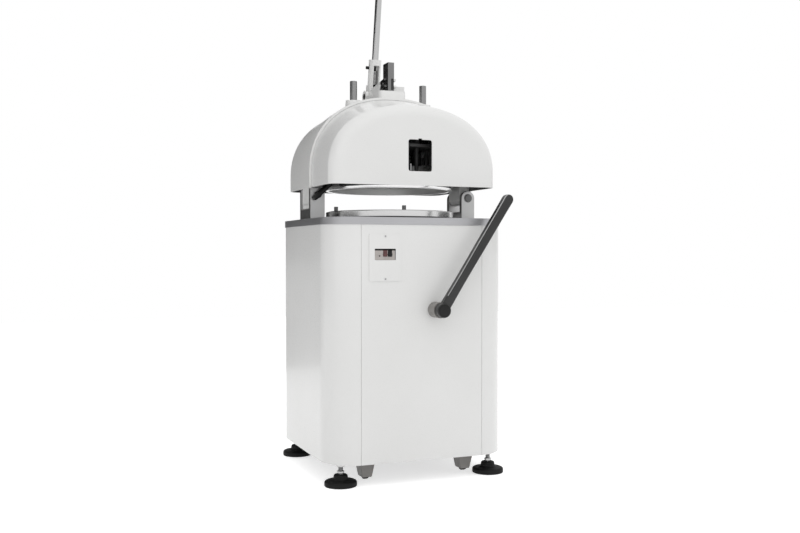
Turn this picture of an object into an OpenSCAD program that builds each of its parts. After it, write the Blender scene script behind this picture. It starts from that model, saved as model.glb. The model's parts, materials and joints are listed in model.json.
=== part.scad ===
// Divider rounder: a floor-standing bakery machine. The press lever pushes a press ring and a
// knife lattice down on a piece of dough, and the table under them orbits to round the pieces.
// Millimetres. The origin is on the floor under the press column, +X right, +Y rear, +Z up.

/* [Cabinet] */
// Width over the side panels
body_w = 661; // [640:1:700]
// Depth over the front and rear panels
body_d = 651; // [620:1:690]
// Height of the cabinet's lower edge above the floor
body_bottom = 75; // [68:1:95]
// Working height, at the top face of the top plate
plate_top = 900; // [870:1:950]
// Thickness of the top plate
plate_t = 25; // [22:1:30]
// How far the top plate stands out past the panels
plate_overhang = 3; // [1:0.5:6]
// Outside radius of the four upright corners
corner_r = 113; // [100:1:120]
// Sheet thickness of the panels
panel_t = 2; // [1:0.5:3]
// Distance from each side to the upright seam
seam_inset = 108.5; // [100:0.5:125]
// Width of the upright seams
seam_w = 1.5; // [1:0.5:3]
// Thickness of the bottom plate
floor_t = 8; // [5:1:12]
// Width of the square corner posts
post_w = 36; // [30:1:38]
// Number of louvre slots in the rear panel
vent_count = 6; // [3:1:8]

/* [Feet and casters] */
// Distance of the feet from the cabinet's sides
foot_inset_x = 55.5; // [50:0.5:68]
// Distance of the feet from the cabinet's front and rear
foot_inset_y = 58.5; // [53:0.5:70]
// Diameter of the foot pads
pad_d = 110; // [80:1:120]
// Height of the flat rubber part of a foot pad
pad_h = 18; // [12:1:24]
// Height of the whole foot pad, with its cone
pad_top = 46; // [38:1:52]
// Diameter of the foot stems
stem_d = 16; // [12:1:20]
// Distance of the casters from the cabinet's sides
caster_inset_x = 147.5; // [135:0.5:170]
// Distance of the casters from the cabinet's front and rear
caster_inset_y = 75.5; // [65:0.5:105]
// Diameter of the caster wheels
wheel_d = 44; // [36:1:46]
// Width of the caster wheels
wheel_w = 18; // [14:1:20]
// Clearance between the caster wheels and the floor
wheel_lift = 12; // [8:1:16]

/* [Switch] */
// Distance from the left seam to the switch plate
switch_seam_gap = 27; // [10:1:45]
// Height of the switch plate's middle
switch_z = 764.5; // [740:0.5:775]
// Width of the switch plate
switch_w = 114; // [100:1:120]
// Height of the switch plate
switch_h = 157; // [140:1:170]
// Width of the window in the switch plate
switch_window_w = 75; // [70:1:84]
// Height of the window in the switch plate
switch_window_h = 38; // [34:1:46]
// Height of the window's middle over the plate's middle
switch_window_rise = 10.5; // [0:0.5:20]
// Travel of the push buttons
button_travel = 3; // [2:0.5:4]

/* [Front lever] */
// Sideways place of the front lever's shaft
lever_x = 44; // [35:1:55]
// Height of the front lever's shaft
lever_z = 587; // [570:1:600]
// Length of the front lever's arm
lever_len = 466; // [400:1:500]
// Angle of the arm above the horizontal
lever_angle = 57; // [50:0.5:65]
// Travel of the front lever, in degrees
lever_swing = 60; // [40:1:70]
// Diameter of the front lever's shaft
lever_shaft_d = 24; // [20:1:26]
// Diameter of the bush that carries the shaft
lever_bush_d = 54; // [48:1:60]
// How far the bush stands out of the front panel
lever_bush_len = 50; // [40:1:60]

/* [Rounding table] */
// Least distance between the orbiting table and the forks
table_side_clear = 20; // [15:1:35]
// Thickness of the rounding table
table_t = 24; // [23:1:30]
// Gap between the top plate and the table
table_gap = 6; // [4:0.5:10]
// Radius of the table's orbit
orbit_r = 12; // [8:1:14]
// How far the front lever raises the table
lift = 10; // [6:0.5:11]
// Diameter of the locating pegs on the table
peg_d = 14; // [10:1:18]
// Height of the pegs above the table
peg_h = 15; // [10:1:18]
// Distance of the idler cranks from the middle
idler_x = 120; // [110:1:150]

/* [Head hinge] */
// Distance of the hinge pin and the clamp stud from the cabinet's sides
pin_inset = 37; // [30:0.5:45]
// Height of the hinge pin over the top plate
pin_h = 85; // [80:1:100]
// Diameter of the hinge pin
pin_d = 24; // [18:1:28]
// Width of the forks, seen from the front
fork_w = 53; // [46:1:54]
// Thickness of each fork cheek
cheek_t = 18; // [12:1:22]
// Height of the solid foot of each fork
fork_foot_h = 34; // [28:1:40]
// Diameter of the clamp stud
stud_d = 16; // [12:1:20]
// Length of the clamp handle's arm
clamp_len = 65; // [50:1:75]
// Angle of the clamp handle's arm above the horizontal
clamp_angle = 40; // [30:1:50]

/* [Head] */
// How far the shells stand back from the cabinet's sides
head_inset = 19.5; // [10:0.5:25]
// Depth of the head over both shells
head_d = 536; // [510:1:560]
// Height of the upright sides of the head
head_side_h = 53; // [40:1:70]
// Height of the dome over the upright sides, at the arch
head_rise = 272; // [260:1:280]
// How far the dome falls from the arch to its front edge
front_fall = 42; // [30:1:50]
// How far the dome falls from the arch to its rear edge
rear_fall = 12; // [5:1:30]
// Exponent of the dome's curve, where 2 is an ellipse
head_power = 2.2; // [2:0.05:2.6]
// Radius of the shells' front and rear edges
edge_r = 35; // [20:1:45]
// Wall thickness of the shells
shell_t = 4; // [3:0.5:6]
// Width of the cast arch, front to back
arch_d = 94; // [86:1:96]
// How far the arch stands proud of the shells
arch_proud = 4; // [1:0.5:6]
// Wall thickness of the arch
arch_t = 18; // [14:1:22]
// Sideways place of the window's middle
window_x = 14; // [-40:1:40]
// Width of the window in the front shell
window_w = 88; // [60:1:110]
// Height of the window in the front shell
window_h = 109; // [80:1:120]
// Height of the window's lower edge over the shell's lower edge
window_rise = 49; // [40:1:60]

/* [Press and knives] */
// Least distance from the press ring to the head's front and rear faces
ring_inset = 33; // [30:1:45]
// Wall thickness of the press ring
ring_t = 14; // [10:1:18]
// Height of the press ring
ring_h = 56; // [50:1:64]
// How far the ring hangs below the head
ring_drop = 6; // [2:1:10]
// Depth of the dough chamber inside the ring
chamber_h = 24; // [18:1:28]
// Thickness of the press segments
segment_t = 14; // [10:1:16]
// Travel of the press ring
press_travel = 50; // [40:1:50]
// Travel of the knife lattice
knife_travel = 95; // [88:1:96]
// Thickness of the knife blades
blade_t = 3; // [2:0.5:4]
// Height of the knife blades
blade_h = 40; // [30:1:44]
// Clearance between the feet of the guide rods and the crosshead
rod_clear = 2.2; // [1:0.1:6]
// Diameter of the guide rods
rod_d = 26; // [20:1:28]
// Height of the guide rods' tops over the head's lower edge
rod_top_h = 393; // [385:1:420]
// Width of the press column, sideways
column_w = 24; // [20:1:26]
// Depth of the press column, front to back
column_d = 51; // [44:1:54]
// Height of the column's top over the head's lower edge
column_top_h = 467; // [450:1:490]

/* [Press lever] */
// Distance of the lever's pivot behind the column's middle
pivot_y = 166; // [160:1:175]
// Height of the lever's pivot over the head's lower edge
pivot_h = 368; // [364:1:380]
// Diameter of the lever's pivot pin
pivot_d = 23; // [18:1:25]
// Forward lean of the lever at rest, in degrees
lever_lean = 9.5; // [5:0.5:15]
// Diameter of the lever's tube
tube_d = 48; // [44:1:50]
// Length from the pivot to the top of the tube
tube_len = 141; // [136:1:160]
// Diameter of the steel rod
bar_d = 25; // [20:1:28]
// Length from the pivot to the top of the grip
handle_len = 700; // [600:1:800]
// Length of the grip
grip_len = 125; // [100:1:150]
// Diameter of the grip
grip_d = 34; // [30:1:40]
// Angle of the lever's fork arms above the horizontal at rest
arm_angle = 8; // [6:0.5:10]
// Travel of the press lever, in degrees
press_swing = 35; // [30:1:36]
// Travel of the latch
latch_travel = 8; // [5:1:8]

/* [Hidden] */
$fn = 64;

// Clearances: cuts run past by the overrun, fixed fits, running fits, and gaps between moving pieces
overrun = 1;
fit = 0.02;
run = 0.05;
gap = 0.3;
wide_gap = 1;

// Cabinet
plate_bottom = plate_top - plate_t;
panel_h = plate_bottom - body_bottom;
inner_w = body_w - 2 * panel_t - 2 * fit;
inner_d = body_d - 2 * panel_t - 2 * fit;
inner_r = corner_r - panel_t - fit;
front_y = -body_d / 2;
rear_y = body_d / 2;
seam_x = body_w / 2 - seam_inset;
flat_half = seam_x - seam_w / 2;
post_wall = 4;
vent_w = 240;
vent_h = 8;
vent_pitch = 22;
vent_rise = 90;
vent_z = body_bottom + vent_rise;
screw_d = 9;
screw_h = 2.5;
rear_screw_edge = 20;
rear_screw_x = flat_half - rear_screw_edge;
rear_screw_inset = 30;
rear_screw_rows = 4;
gland_inset = 71.25;
gland_x = gland_inset - flat_half;
gland_rise = 60;
gland_z = body_bottom + gland_rise;
gland_thread_d = 20;
gland_hex_d = 30;
gland_hex_t = 6;
gland_dome_d = 24;
gland_dome_t = 14;
gland_bore_d = 10;
gland_inner = 12;

// Feet and casters
foot_x = body_w / 2 - foot_inset_x;
foot_y = body_d / 2 - foot_inset_y;
caster_x = body_w / 2 - caster_inset_x;
caster_y = body_d / 2 - caster_inset_y;
pad_bevel = 7;
pad_rib_d = pad_d - 2 * pad_bevel;
pad_cone_d = 48;
pad_neck_d = 36;
collar_d = 24;
collar_t = 6;
lock_nut_d = 31;
lock_nut_t = 10;
stem_seat = 6;
caster_top_w = 58;
caster_low_w = 34;
caster_len = 56;
caster_low_len = 34;
caster_flange_t = 5;
caster_flange_w = 72;
caster_axle_d = 8;
wheel_z = wheel_lift + wheel_d / 2;
caster_low_z = wheel_z - caster_axle_d;
wheel_hub_d = 24;
wheel_hub_step = 2;

// Switch
switch_x = switch_seam_gap + switch_w / 2 - seam_x;
switch_proud = 3;
switch_corner_r = 6;
switch_window_r = 2;
switch_screw_inset = 7;
starter_clear = 0.5;
starter_w = switch_window_w - 2 * starter_clear;
starter_h = switch_window_h - 2 * starter_clear;
starter_recess = 1.5;
starter_depth = 55;
button_d = 15;
button_proud = 4;
button_seat = 6;
button_spread = 17;
window_z = switch_z + switch_window_rise;
starter_front_y = front_y - switch_proud + starter_recess;

// Front lever
bush_front_y = front_y - lever_bush_len;
bush_tube_d = 36;
bush_flange_d = 90;
bush_flange_t = 8;
bush_inner_len = 60;
hub_d = 48;
hub_t = 30;
hub_front_y = bush_front_y - gap - hub_t;
arm_t = 25;
arm_root_w = 36;
arm_mid_w = 30;
arm_end_w = 36;
arm_mid_share = 0.45;
cam_r = 30;
cam_y = -190;
cam_t = 20;
cam_steps = 24;
cam_lead = 20;
cam_extra = 90;
shaft_rear_y = cam_y + cam_t;

// Rounding table and its drive: the table is as wide as the forks and the cabinet's depth let it be
pin_x = body_w / 2 - pin_inset;
table_front_inset = 90.5;
table_d = min(2 * (pin_x - fork_w / 2 - orbit_r - table_side_clear), body_d - 2 * table_front_inset);
table_bottom = plate_top + table_gap;
table_top = table_bottom + table_t;
table_skin = 4;
table_lip_w = 8;
table_lip_h = 2;
crank_hole_d = 100;
crank_d = 88;
crank_t = 22;
crank_rise = 9;
crank_top = plate_bottom + crank_rise;
crank_hub_d = 60;
crank_hub_h = 32;
crank_bottom = crank_top - crank_t;
crank_pin_d = 44;
crank_shoulder_d = 58;
square_w = 26;
square_clear = 4;
square_top = crank_bottom - square_clear;
idler_d = 56;
idler_t = 10;
idler_pocket_clear = 4;
idler_pocket_h = 12;
idler_pin_d = 16;
idler_shaft_d = 20;
idler_shaft_len = 44;
peg_inset = 9;
peg_angles = [187, 262, 47];
shaft_d = 30;
bridge_x = 155;
bridge_front_y = -225;
bridge_rear_y = 90;
bridge_t = 12;
bridge_drop = 73;
bridge_top = plate_bottom - bridge_drop;
standoff_d = 24;
standoff_x = 135;
standoff_front_y = -205;
standoff_rear_y = 70;
housing_d = 96;
housing_h = 110;
bearing_d = 70;
bearing_t = 16;
bearing_inset = 5;
pulley_t = 26;
pulley_rise = 45;
pulley_z = lever_z + pulley_rise;
drive_pulley_d = 200;
motor_pulley_d = 76;
groove_h = 10;
belt_h = 10;
belt_w = 14;
belt_steps = 36;
motor_y = 190;
motor_d = 140;
motor_h = 210;
motor_shaft_d = 19;
motor_box = [70, 40, 90];
mount_t = 8;
mount_depth = 190;
yoke_ring_d = 84;
yoke_t = 9;
yoke_arm_w = 22;
yoke_rod_d = 16;
yoke_z = crank_bottom - gap - yoke_t;
cam_slope = atan(lift / (cam_r * lever_swing * PI / 180));
yoke_tip_z = lever_z + cam_r + yoke_rod_d / 2 / cos(cam_slope) + gap;
guide_boss_d = 34;
guide_boss_h = 30;

// Head hinge
pin_z = plate_top + pin_h;
tilt_clear = 0.5;
head_bottom = pin_z + fork_w / 2 + tilt_clear;
cheek_in = arch_d / 2 + wide_gap;
cheek_out = cheek_in + cheek_t;
left_fork_clear = 4;
left_fork_top = head_bottom - left_fork_clear;
pin_end = 4;
clip_d = 32;
clip_t = 2;
lug_r = fork_w / 2 - tilt_clear;
lug_top = head_bottom + head_side_h;
left_lug_inset = 3;
left_lug_half = lug_r - left_lug_inset;
left_lug_drop = 32;
slot_flare = 3;
clamp_hub_d = 34;
clamp_hub_t = 22;
clamp_arm_w = 16;
clamp_arm_t = 14;
stud_end = 4;

// Head
head_w = body_w - 2 * head_inset;
arch_half = head_w / 2 + arch_proud;
arch_edge = arch_d / 2;
shell_edge = arch_edge + gap;
dome_steps = 22;
edge_steps = 5;
slice_t = 0.5;
window_r = 8;
window_bump_w = 14;
window_bump_h = 4;
boss_half = 52;
boss_r = 16;
boss_rise = 359;
boss_depth = 40;
boss_top = head_bottom + boss_rise;
boss_foot = head_bottom + head_side_h + head_rise - boss_depth;
lump_x0 = 30;
lump_w = 42;
lump_y0 = 24;
lump_h = 30;
lump_top = boss_top + lump_h;
rod_boss_d = 56;
rod_boss_low_d = 74;
rod_boss_rise = 322;
rod_boss_low = 236;
rod_boss_top = head_bottom + rod_boss_rise;
rod_boss_foot = head_bottom + rod_boss_low;
bush_d = 34;
spring_boss_d = 28;
spring_boss_low = 224;
spring_boss_bottom = head_bottom + spring_boss_low;

// Press and knives: the ring is as wide as the table, or as the head's depth lets it be
ring_d = min(table_d, head_d - 2 * ring_inset);
ring_bottom = head_bottom - ring_drop;
ring_r = ring_d / 2;
ring_in = ring_r - ring_t;
segment_clear = 2;
segment_r = ring_in - segment_clear;
segment_z = ring_bottom + chamber_h;
knife_clear = 4;
knife_lift = 8;
knife_r = ring_in - knife_clear;
knife_z = segment_z + segment_t + knife_lift;
slot_clear = 1;
cell_counts = [4, 10, 16];
cell_total = cell_counts[0] + cell_counts[1] + cell_counts[2];
knife_ring_1 = segment_r * sqrt(cell_counts[0] / cell_total);
knife_ring_2 = segment_r * sqrt((cell_counts[0] + cell_counts[1]) / cell_total);
stem_r = 7;
inner_stem_share = 0.6;
carrier_rise = 58;
carrier_z = knife_z + blade_h + carrier_rise;
carrier_t = 10;
carrier_top = carrier_z + carrier_t;
pillar_d = 12;
pillar_count = 8;
pillar_turn = 22.5;
rod_foot_d = 40;
rod_foot_h = 8;
crosshead_clear = 7;
crosshead_z = carrier_top + knife_travel - press_travel + crosshead_clear;
crosshead_t = 16;
post_d = 16;
post_place = knife_ring_2 / sqrt(2);
crosshead_half = post_place + post_d / 2 + wide_gap;
crosshead_top = crosshead_z + crosshead_t;
rod_x = crosshead_half + rod_clear + rod_foot_d / 2;
column_top = head_bottom + column_top_h;
column_pin_d = 12;
column_pin_y = 18;
column_pin_half = 22;
column_flat_depth = 3;
column_flat_h = 42;
column_flat_rise = 7;
column_flat_low = boss_top + column_flat_rise;
spring_wire_d = 3;
return_coil_d = 18;
return_turns = 12;
spring_rod_gap = 18.5;
spring_x = rod_x + rod_foot_d / 2 + spring_rod_gap + (return_coil_d + spring_wire_d) / 2;

// Press lever
lever_half = tube_d / 2;
lever_hub_d = 54;
web_w = 40;
web_top = 44;
slot_w = 22;
slot_low = 39;
slot_high = 119;
spring_bore_d = 26;
spring_seat = 100;
plunger_d = 10;
plunger_top = 115;
knob_pin_d = 6;
knob_z = 110;
knob_d = 12;
knob_t = 11;
knob_slot_clear = 1;
collar_low = 41;
collar_h = 4;
latch_collar_d = 20;
bar_seat = 124;
arm_in = 14;
arm_out = 23.4;
arm_half_h = 16;
arm_reach = pivot_y - column_pin_y;
arm_stroke_angle = press_swing - arm_angle;
pivot_z = head_bottom + pivot_h;
arm_over_dome = pivot_z - head_bottom - head_side_h - head_rise - arm_half_h / cos(arm_stroke_angle);
arm_slot_clear = 4;
arm_slot_end = pivot_y - arm_over_dome / tan(arm_stroke_angle) + arm_slot_clear;
pin_slack = 3;
arm_len = arm_reach / cos(arm_stroke_angle) + column_pin_d + 2 * pin_slack;
arm_tip_y = pivot_y - norm([arm_len, arm_half_h]) - wide_gap;
arm_slot_low = pivot_z - arm_len * sin(arm_stroke_angle) - arm_half_h - wide_gap;
ear_clear = 0.6;
ear_in = lever_half + ear_clear;
ear_t = 12;
ear_r = 23;
ear_low = head_bottom + head_side_h + head_rise + arch_proud + wide_gap;
ear_flange_w = 24;
ear_flange_t = 12;
latch_coil_d = 16;
latch_turns = 11;

// Springs: the centre line of a coil with straight ends, and the tube swept along it
coil_rings = 8;
coil_sides = 6;
coil_reach = 0.6;

function coil_path(mean_d, wire_d, height, turns) =
    let (steps = turns * coil_rings, rise = height - 2 * wire_d)
    concat([[mean_d / 2, 0, 0, 0]],
        [for (i = [0:steps])
            let (turn = 360 * i / coil_rings)
            [mean_d / 2 * cos(turn), mean_d / 2 * sin(turn), wire_d + rise * i / steps, turn]],
        [[mean_d / 2 * cos(360 * turns), mean_d / 2 * sin(360 * turns), height, 360 * turns]]);

function place(p) = [p[0], p[1], p[2]];

function unit(v) = v / norm(v);

function tangent(path, i) =
    (i == 0 || i == len(path) - 1) ? [0, 0, 1]
        : unit(place(path[i + 1]) - place(path[i - 1]));

function coil_gap(path, wire_d) =
    min([for (i = [0:len(path) - 1], j = [i + coil_rings * coil_reach:len(path) - 1])
        norm(place(path[i]) - place(path[floor(j)]))]) - wire_d;

module coil_spring(mean_d, wire_d, height, turns) {
    path = coil_path(mean_d, wire_d, height, turns);
    last = len(path) - 1;
    points = [for (i = [0:last], k = [0:coil_sides - 1])
        let (out = [cos(path[i][3]), sin(path[i][3]), 0])
        let (side = cross(tangent(path, i), out))
        let (spoke = 360 * k / coil_sides)
        place(path[i]) + wire_d / 2 * (out * cos(spoke) + side * sin(spoke))];
    walls = [for (i = [0:last - 1], k = [0:coil_sides - 1], half = [0:1])
        let (a = i * coil_sides + k, b = i * coil_sides + (k + 1) % coil_sides)
        half == 0 ? [a, a + coil_sides, b] : [b, a + coil_sides, b + coil_sides]];
    caps = [for (k = [1:coil_sides - 2], end = [0:1])
        end == 0 ? [0, k, k + 1]
            : [last * coil_sides, last * coil_sides + k + 1, last * coil_sides + k]];
    polyhedron(points, concat(walls, caps));
}

// Outlines and placing helpers
module rounded_rect(w, d, r) {
    square([w - 2 * r, d], center = true);
    square([w, d - 2 * r], center = true);
    for (sx = [-1, 1], sy = [-1, 1]) translate([sx * (w / 2 - r), sy * (d / 2 - r)]) circle(r);
}

module upright(y0, y1) {
    translate([0, y1, 0]) rotate([90, 0, 0]) linear_extrude(y1 - y0) children();
}

module bar_y(d, y0, y1) {
    translate([0, y1, 0]) rotate([90, 0, 0]) cylinder(d = d, h = y1 - y0);
}

module bar_x(d, x0, x1) {
    translate([x0, 0, 0]) rotate([0, 90, 0]) cylinder(d = d, h = x1 - x0);
}

module both_sides(x) {
    for (side = [-1, 1]) translate([side * x, 0, 0]) children();
}

module four_corners(x, y) {
    for (sx = [-1, 1], sy = [-1, 1]) translate([sx * x, sy * y, 0]) children();
}

// The dome's outline over its lower edge: upright sides and a rounded top
function dome_side(half, side_h, rise) =
    [for (i = [0:dome_steps])
        let (turn = 90 * i / dome_steps)
        [half * pow(cos(turn), 2 / head_power), side_h + rise * pow(sin(turn), 2 / head_power)]];

function dome(half, side_h, rise, drop) =
    let (side = dome_side(half, side_h, rise))
    concat([[half, -drop]], side,
        [for (i = [dome_steps - 1:-1:0]) [-side[i][0], side[i][1]]], [[-half, -drop]]);

// Height of the arch's inner face at a distance from the middle
function roof_z(x) =
    head_bottom + head_side_h + (head_rise + arch_proud - arch_t)
        * pow(1 - pow(x / (arch_half - arch_t), head_power), 1 / head_power);

// Cabinet
module bottom_plate() {
    color("dimgray") difference() {
        translate([0, 0, body_bottom]) linear_extrude(floor_t) rounded_rect(inner_w, inner_d, inner_r);
        four_corners(foot_x, foot_y) translate([0, 0, body_bottom - overrun])
            cylinder(d = stem_d + 2 * fit, h = floor_t + 2 * overrun);
    }
}

module corner_posts() {
    color("dimgray") four_corners(foot_x, foot_y)
        translate([0, 0, body_bottom + floor_t]) linear_extrude(panel_h - floor_t) difference() {
            square(post_w, center = true);
            square(post_w - 2 * post_wall, center = true);
        }
}

module side_panel() {
    translate([0, 0, body_bottom]) linear_extrude(panel_h) intersection() {
        difference() {
            rounded_rect(body_w, body_d, corner_r);
            rounded_rect(body_w - 2 * panel_t, body_d - 2 * panel_t, corner_r - panel_t);
        }
        translate([seam_x + seam_w / 2, -body_d / 2 - overrun])
            square([body_w / 2, body_d + 2 * overrun]);
    }
}

module right_side_panel() {
    color("whitesmoke") side_panel();
}

module left_side_panel() {
    color("whitesmoke") mirror([1, 0, 0]) side_panel();
}

module flat_panel(y0) {
    translate([-flat_half, y0, body_bottom]) cube([2 * flat_half, panel_t, panel_h]);
}

module front_panel() {
    color("whitesmoke") difference() {
        flat_panel(front_y);
        translate([switch_x, 0, window_z]) upright(front_y - overrun, front_y + panel_t + overrun)
            square([starter_w + 2 * starter_clear, starter_h + 2 * starter_clear], center = true);
        translate([lever_x, 0, lever_z])
            bar_y(bush_tube_d + 2 * fit, front_y - overrun, front_y + panel_t + overrun);
    }
}

module rear_panel() {
    color("whitesmoke") difference() {
        flat_panel(rear_y - panel_t);
        for (i = [0:vent_count - 1])
            translate([0, 0, vent_z + i * vent_pitch])
                upright(rear_y - panel_t - overrun, rear_y + overrun)
                rounded_rect(vent_w, vent_h, vent_h / 2 - fit);
        translate([gland_x, 0, gland_z])
            bar_y(gland_thread_d + 2 * fit, rear_y - panel_t - overrun, rear_y + overrun);
    }
}

module panel_screws() {
    color("silver") {
        for (side = [-1, 1])
            translate([switch_x, 0, switch_z + side * (switch_h / 2 - switch_screw_inset)])
                bar_y(screw_d, front_y - switch_proud - screw_h, front_y - switch_proud);
        for (row = [0:rear_screw_rows - 1])
            translate([0, 0, body_bottom + rear_screw_inset
                    + row * (panel_h - 2 * rear_screw_inset) / (rear_screw_rows - 1)])
                both_sides(rear_screw_x) bar_y(screw_d, rear_y, rear_y + screw_h);
    }
}

module cable_gland() {
    color("black") translate([gland_x, 0, gland_z]) difference() {
        union() {
            bar_y(gland_thread_d, rear_y - panel_t - gland_inner, rear_y + gland_hex_t);
            translate([0, rear_y + gland_hex_t, 0]) rotate([90, 0, 0])
                cylinder(d = gland_hex_d, h = gland_hex_t, $fn = 6);
            bar_y(gland_dome_d, rear_y, rear_y + gland_hex_t + gland_dome_t);
        }
        bar_y(gland_bore_d, rear_y - panel_t - gland_inner - overrun,
            rear_y + gland_hex_t + gland_dome_t + overrun);
    }
}

module top_plate() {
    color("silver") difference() {
        translate([0, 0, plate_bottom]) linear_extrude(plate_t)
            rounded_rect(body_w + 2 * plate_overhang, body_d + 2 * plate_overhang,
                corner_r + plate_overhang);
        translate([0, 0, plate_bottom - overrun])
            cylinder(d = crank_hole_d, h = plate_t + 2 * overrun);
        both_sides(idler_x) {
            translate([0, 0, plate_bottom - overrun])
                cylinder(d = idler_shaft_d + 2 * run, h = plate_t + 2 * overrun);
            translate([0, 0, plate_top - idler_pocket_h])
                cylinder(d = idler_d + 2 * idler_pocket_clear, h = idler_pocket_h + overrun);
        }
    }
}

// Feet and casters
module foot_pads() {
    color("black") four_corners(foot_x, foot_y) difference() {
        rotate_extrude() polygon([[0, 0], [pad_d / 2, 0], [pad_d / 2, pad_h / 2],
            [pad_rib_d / 2, pad_h], [pad_cone_d / 2, pad_h], [pad_neck_d / 2, pad_top], [0, pad_top]]);
        translate([0, 0, pad_top - stem_seat]) cylinder(d = stem_d + 2 * fit, h = stem_seat + overrun);
    }
}

module foot_stems() {
    color("silver") four_corners(foot_x, foot_y) {
        translate([0, 0, pad_top - stem_seat])
            cylinder(d = stem_d, h = body_bottom + floor_t - pad_top + stem_seat);
        translate([0, 0, pad_top]) cylinder(d = collar_d, h = collar_t);
        translate([0, 0, body_bottom - lock_nut_t]) cylinder(d = lock_nut_d, h = lock_nut_t, $fn = 6);
    }
}

module caster_housing() {
    cheek_in = wheel_w / 2 + wheel_hub_step + gap;
    low_half = caster_low_w / 2;
    top_half = caster_top_w / 2;
    roof_z = body_bottom - caster_flange_t;
    difference() {
        translate([0, caster_len / 2, 0]) rotate([90, 0, 0]) linear_extrude(caster_len)
            polygon([[-low_half, caster_low_z], [low_half, caster_low_z],
                [top_half, roof_z], [-top_half, roof_z]]);
        for (side = [-1, 1]) scale([1, side, 1])
            rotate([90, 0, 90]) translate([0, 0, -top_half - overrun])
            linear_extrude(2 * (top_half + overrun))
            polygon([[caster_low_len / 2, caster_low_z - overrun],
                [caster_low_len / 2, caster_low_z], [caster_len / 2, roof_z],
                [caster_len / 2 + overrun, roof_z], [caster_len / 2 + overrun, caster_low_z - overrun]]);
        translate([-cheek_in, -caster_len / 2 - overrun, caster_low_z - overrun])
            cube([2 * cheek_in, caster_len + 2 * overrun,
                wheel_z + wheel_d / 2 + wide_gap + overrun - caster_low_z]);
    }
    translate([-caster_flange_w / 2, -caster_flange_w / 2, roof_z])
        cube([caster_flange_w, caster_flange_w, caster_flange_t]);
    translate([0, 0, wheel_z]) bar_x(caster_axle_d, -cheek_in - overrun, cheek_in + overrun);
}

module caster_housings() {
    color("gray") four_corners(caster_x, caster_y) caster_housing();
}

module wheel(sx, sy) {
    color("dimgray") translate([sx * caster_x, sy * caster_y, wheel_z]) difference() {
        union() {
            bar_x(wheel_d, -wheel_w / 2, wheel_w / 2);
            bar_x(wheel_hub_d, -wheel_w / 2 - wheel_hub_step, wheel_w / 2 + wheel_hub_step);
        }
        bar_x(caster_axle_d + 2 * run, -wheel_w - overrun, wheel_w + overrun);
    }
}

module front_left_wheel() {
    wheel(-1, -1);
}

module front_right_wheel() {
    wheel(1, -1);
}

module rear_left_wheel() {
    wheel(-1, 1);
}

module rear_right_wheel() {
    wheel(1, 1);
}

// Switch
module switch_plate() {
    color("whitesmoke") translate([switch_x, 0, 0]) upright(front_y - switch_proud, front_y) difference() {
        translate([0, switch_z]) rounded_rect(switch_w, switch_h, switch_corner_r);
        translate([0, window_z]) rounded_rect(switch_window_w, switch_window_h, switch_window_r);
    }
}

module button_bore(x) {
    translate([x, 0, 0]) bar_y(button_d + 2 * gap, starter_front_y - overrun,
        starter_front_y + button_seat + button_travel + gap);
}

module switch_body() {
    color("lightgray") translate([switch_x, 0, window_z]) difference() {
        upright(starter_front_y, starter_front_y + starter_depth)
            square([starter_w, starter_h], center = true);
        button_bore(0);
        button_bore(button_spread);
    }
}

module button(x) {
    translate([switch_x + x, 0, window_z])
        bar_y(button_d, starter_front_y - button_proud, starter_front_y + button_seat);
}

module stop_button() {
    color("firebrick") button(0);
}

module start_button() {
    color("black") button(button_spread);
}

// Front lever
module lever_bush() {
    color("gray") translate([lever_x, 0, lever_z]) difference() {
        union() {
            bar_y(lever_bush_d, bush_front_y, front_y);
            bar_y(bush_tube_d, front_y, front_y + panel_t + bush_inner_len);
            bar_y(bush_flange_d, front_y + panel_t, front_y + panel_t + bush_flange_t);
        }
        bar_y(lever_shaft_d + 2 * run, bush_front_y - overrun, front_y + panel_t + bush_inner_len + overrun);
    }
}

// The cam grows evenly with the turn, so that equal steps of the lever raise the table equally
function cam_radius(turn) = cam_r + lift * min(max((90 - turn) / lever_swing, 0), 1);

module lever_shaft() {
    color("darkgray") translate([lever_x, 0, lever_z]) {
        bar_y(lever_shaft_d, hub_front_y, shaft_rear_y);
        upright(cam_y - cam_t / 2, cam_y + cam_t / 2) polygon(
            [for (i = [0:cam_steps])
                let (turn = 90 - lever_swing - cam_lead + (lever_swing + cam_extra) * i / cam_steps)
                cam_radius(turn) * [cos(turn), sin(turn)]]);
        bar_y(2 * lever_shaft_d, cam_y - cam_t / 2, cam_y + cam_t / 2);
    }
}

module front_lever() {
    mid = lever_len * arm_mid_share;
    color("black") translate([lever_x, 0, lever_z]) difference() {
        union() {
            bar_y(hub_d, hub_front_y, hub_front_y + hub_t);
            rotate([0, -lever_angle, 0]) upright(hub_front_y + hub_t - arm_t, hub_front_y + hub_t - gap) {
                polygon([[0, -arm_root_w / 2], [mid, -arm_mid_w / 2],
                    [lever_len - arm_end_w / 2, -arm_end_w / 2],
                    [lever_len - arm_end_w / 2, arm_end_w / 2], [mid, arm_mid_w / 2], [0, arm_root_w / 2]]);
                translate([lever_len - arm_end_w / 2, 0]) circle(d = arm_end_w);
            }
        }
        bar_y(lever_shaft_d + 2 * fit, hub_front_y - overrun, hub_front_y + hub_t + overrun);
    }
}

// Drive inside the cabinet
module motor() {
    motor_top = pulley_z - mount_t - pulley_t / 2;
    color("slategray") translate([0, motor_y, 0]) {
        translate([0, 0, motor_top - motor_h]) cylinder(d = motor_d, h = motor_h);
        translate([motor_d / 2 - motor_box[1] / 2, -motor_box[0] / 2,
                motor_top - motor_h / 2 - motor_box[2] / 2])
            cube([motor_box[1], motor_box[0], motor_box[2]]);
    }
}

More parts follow.
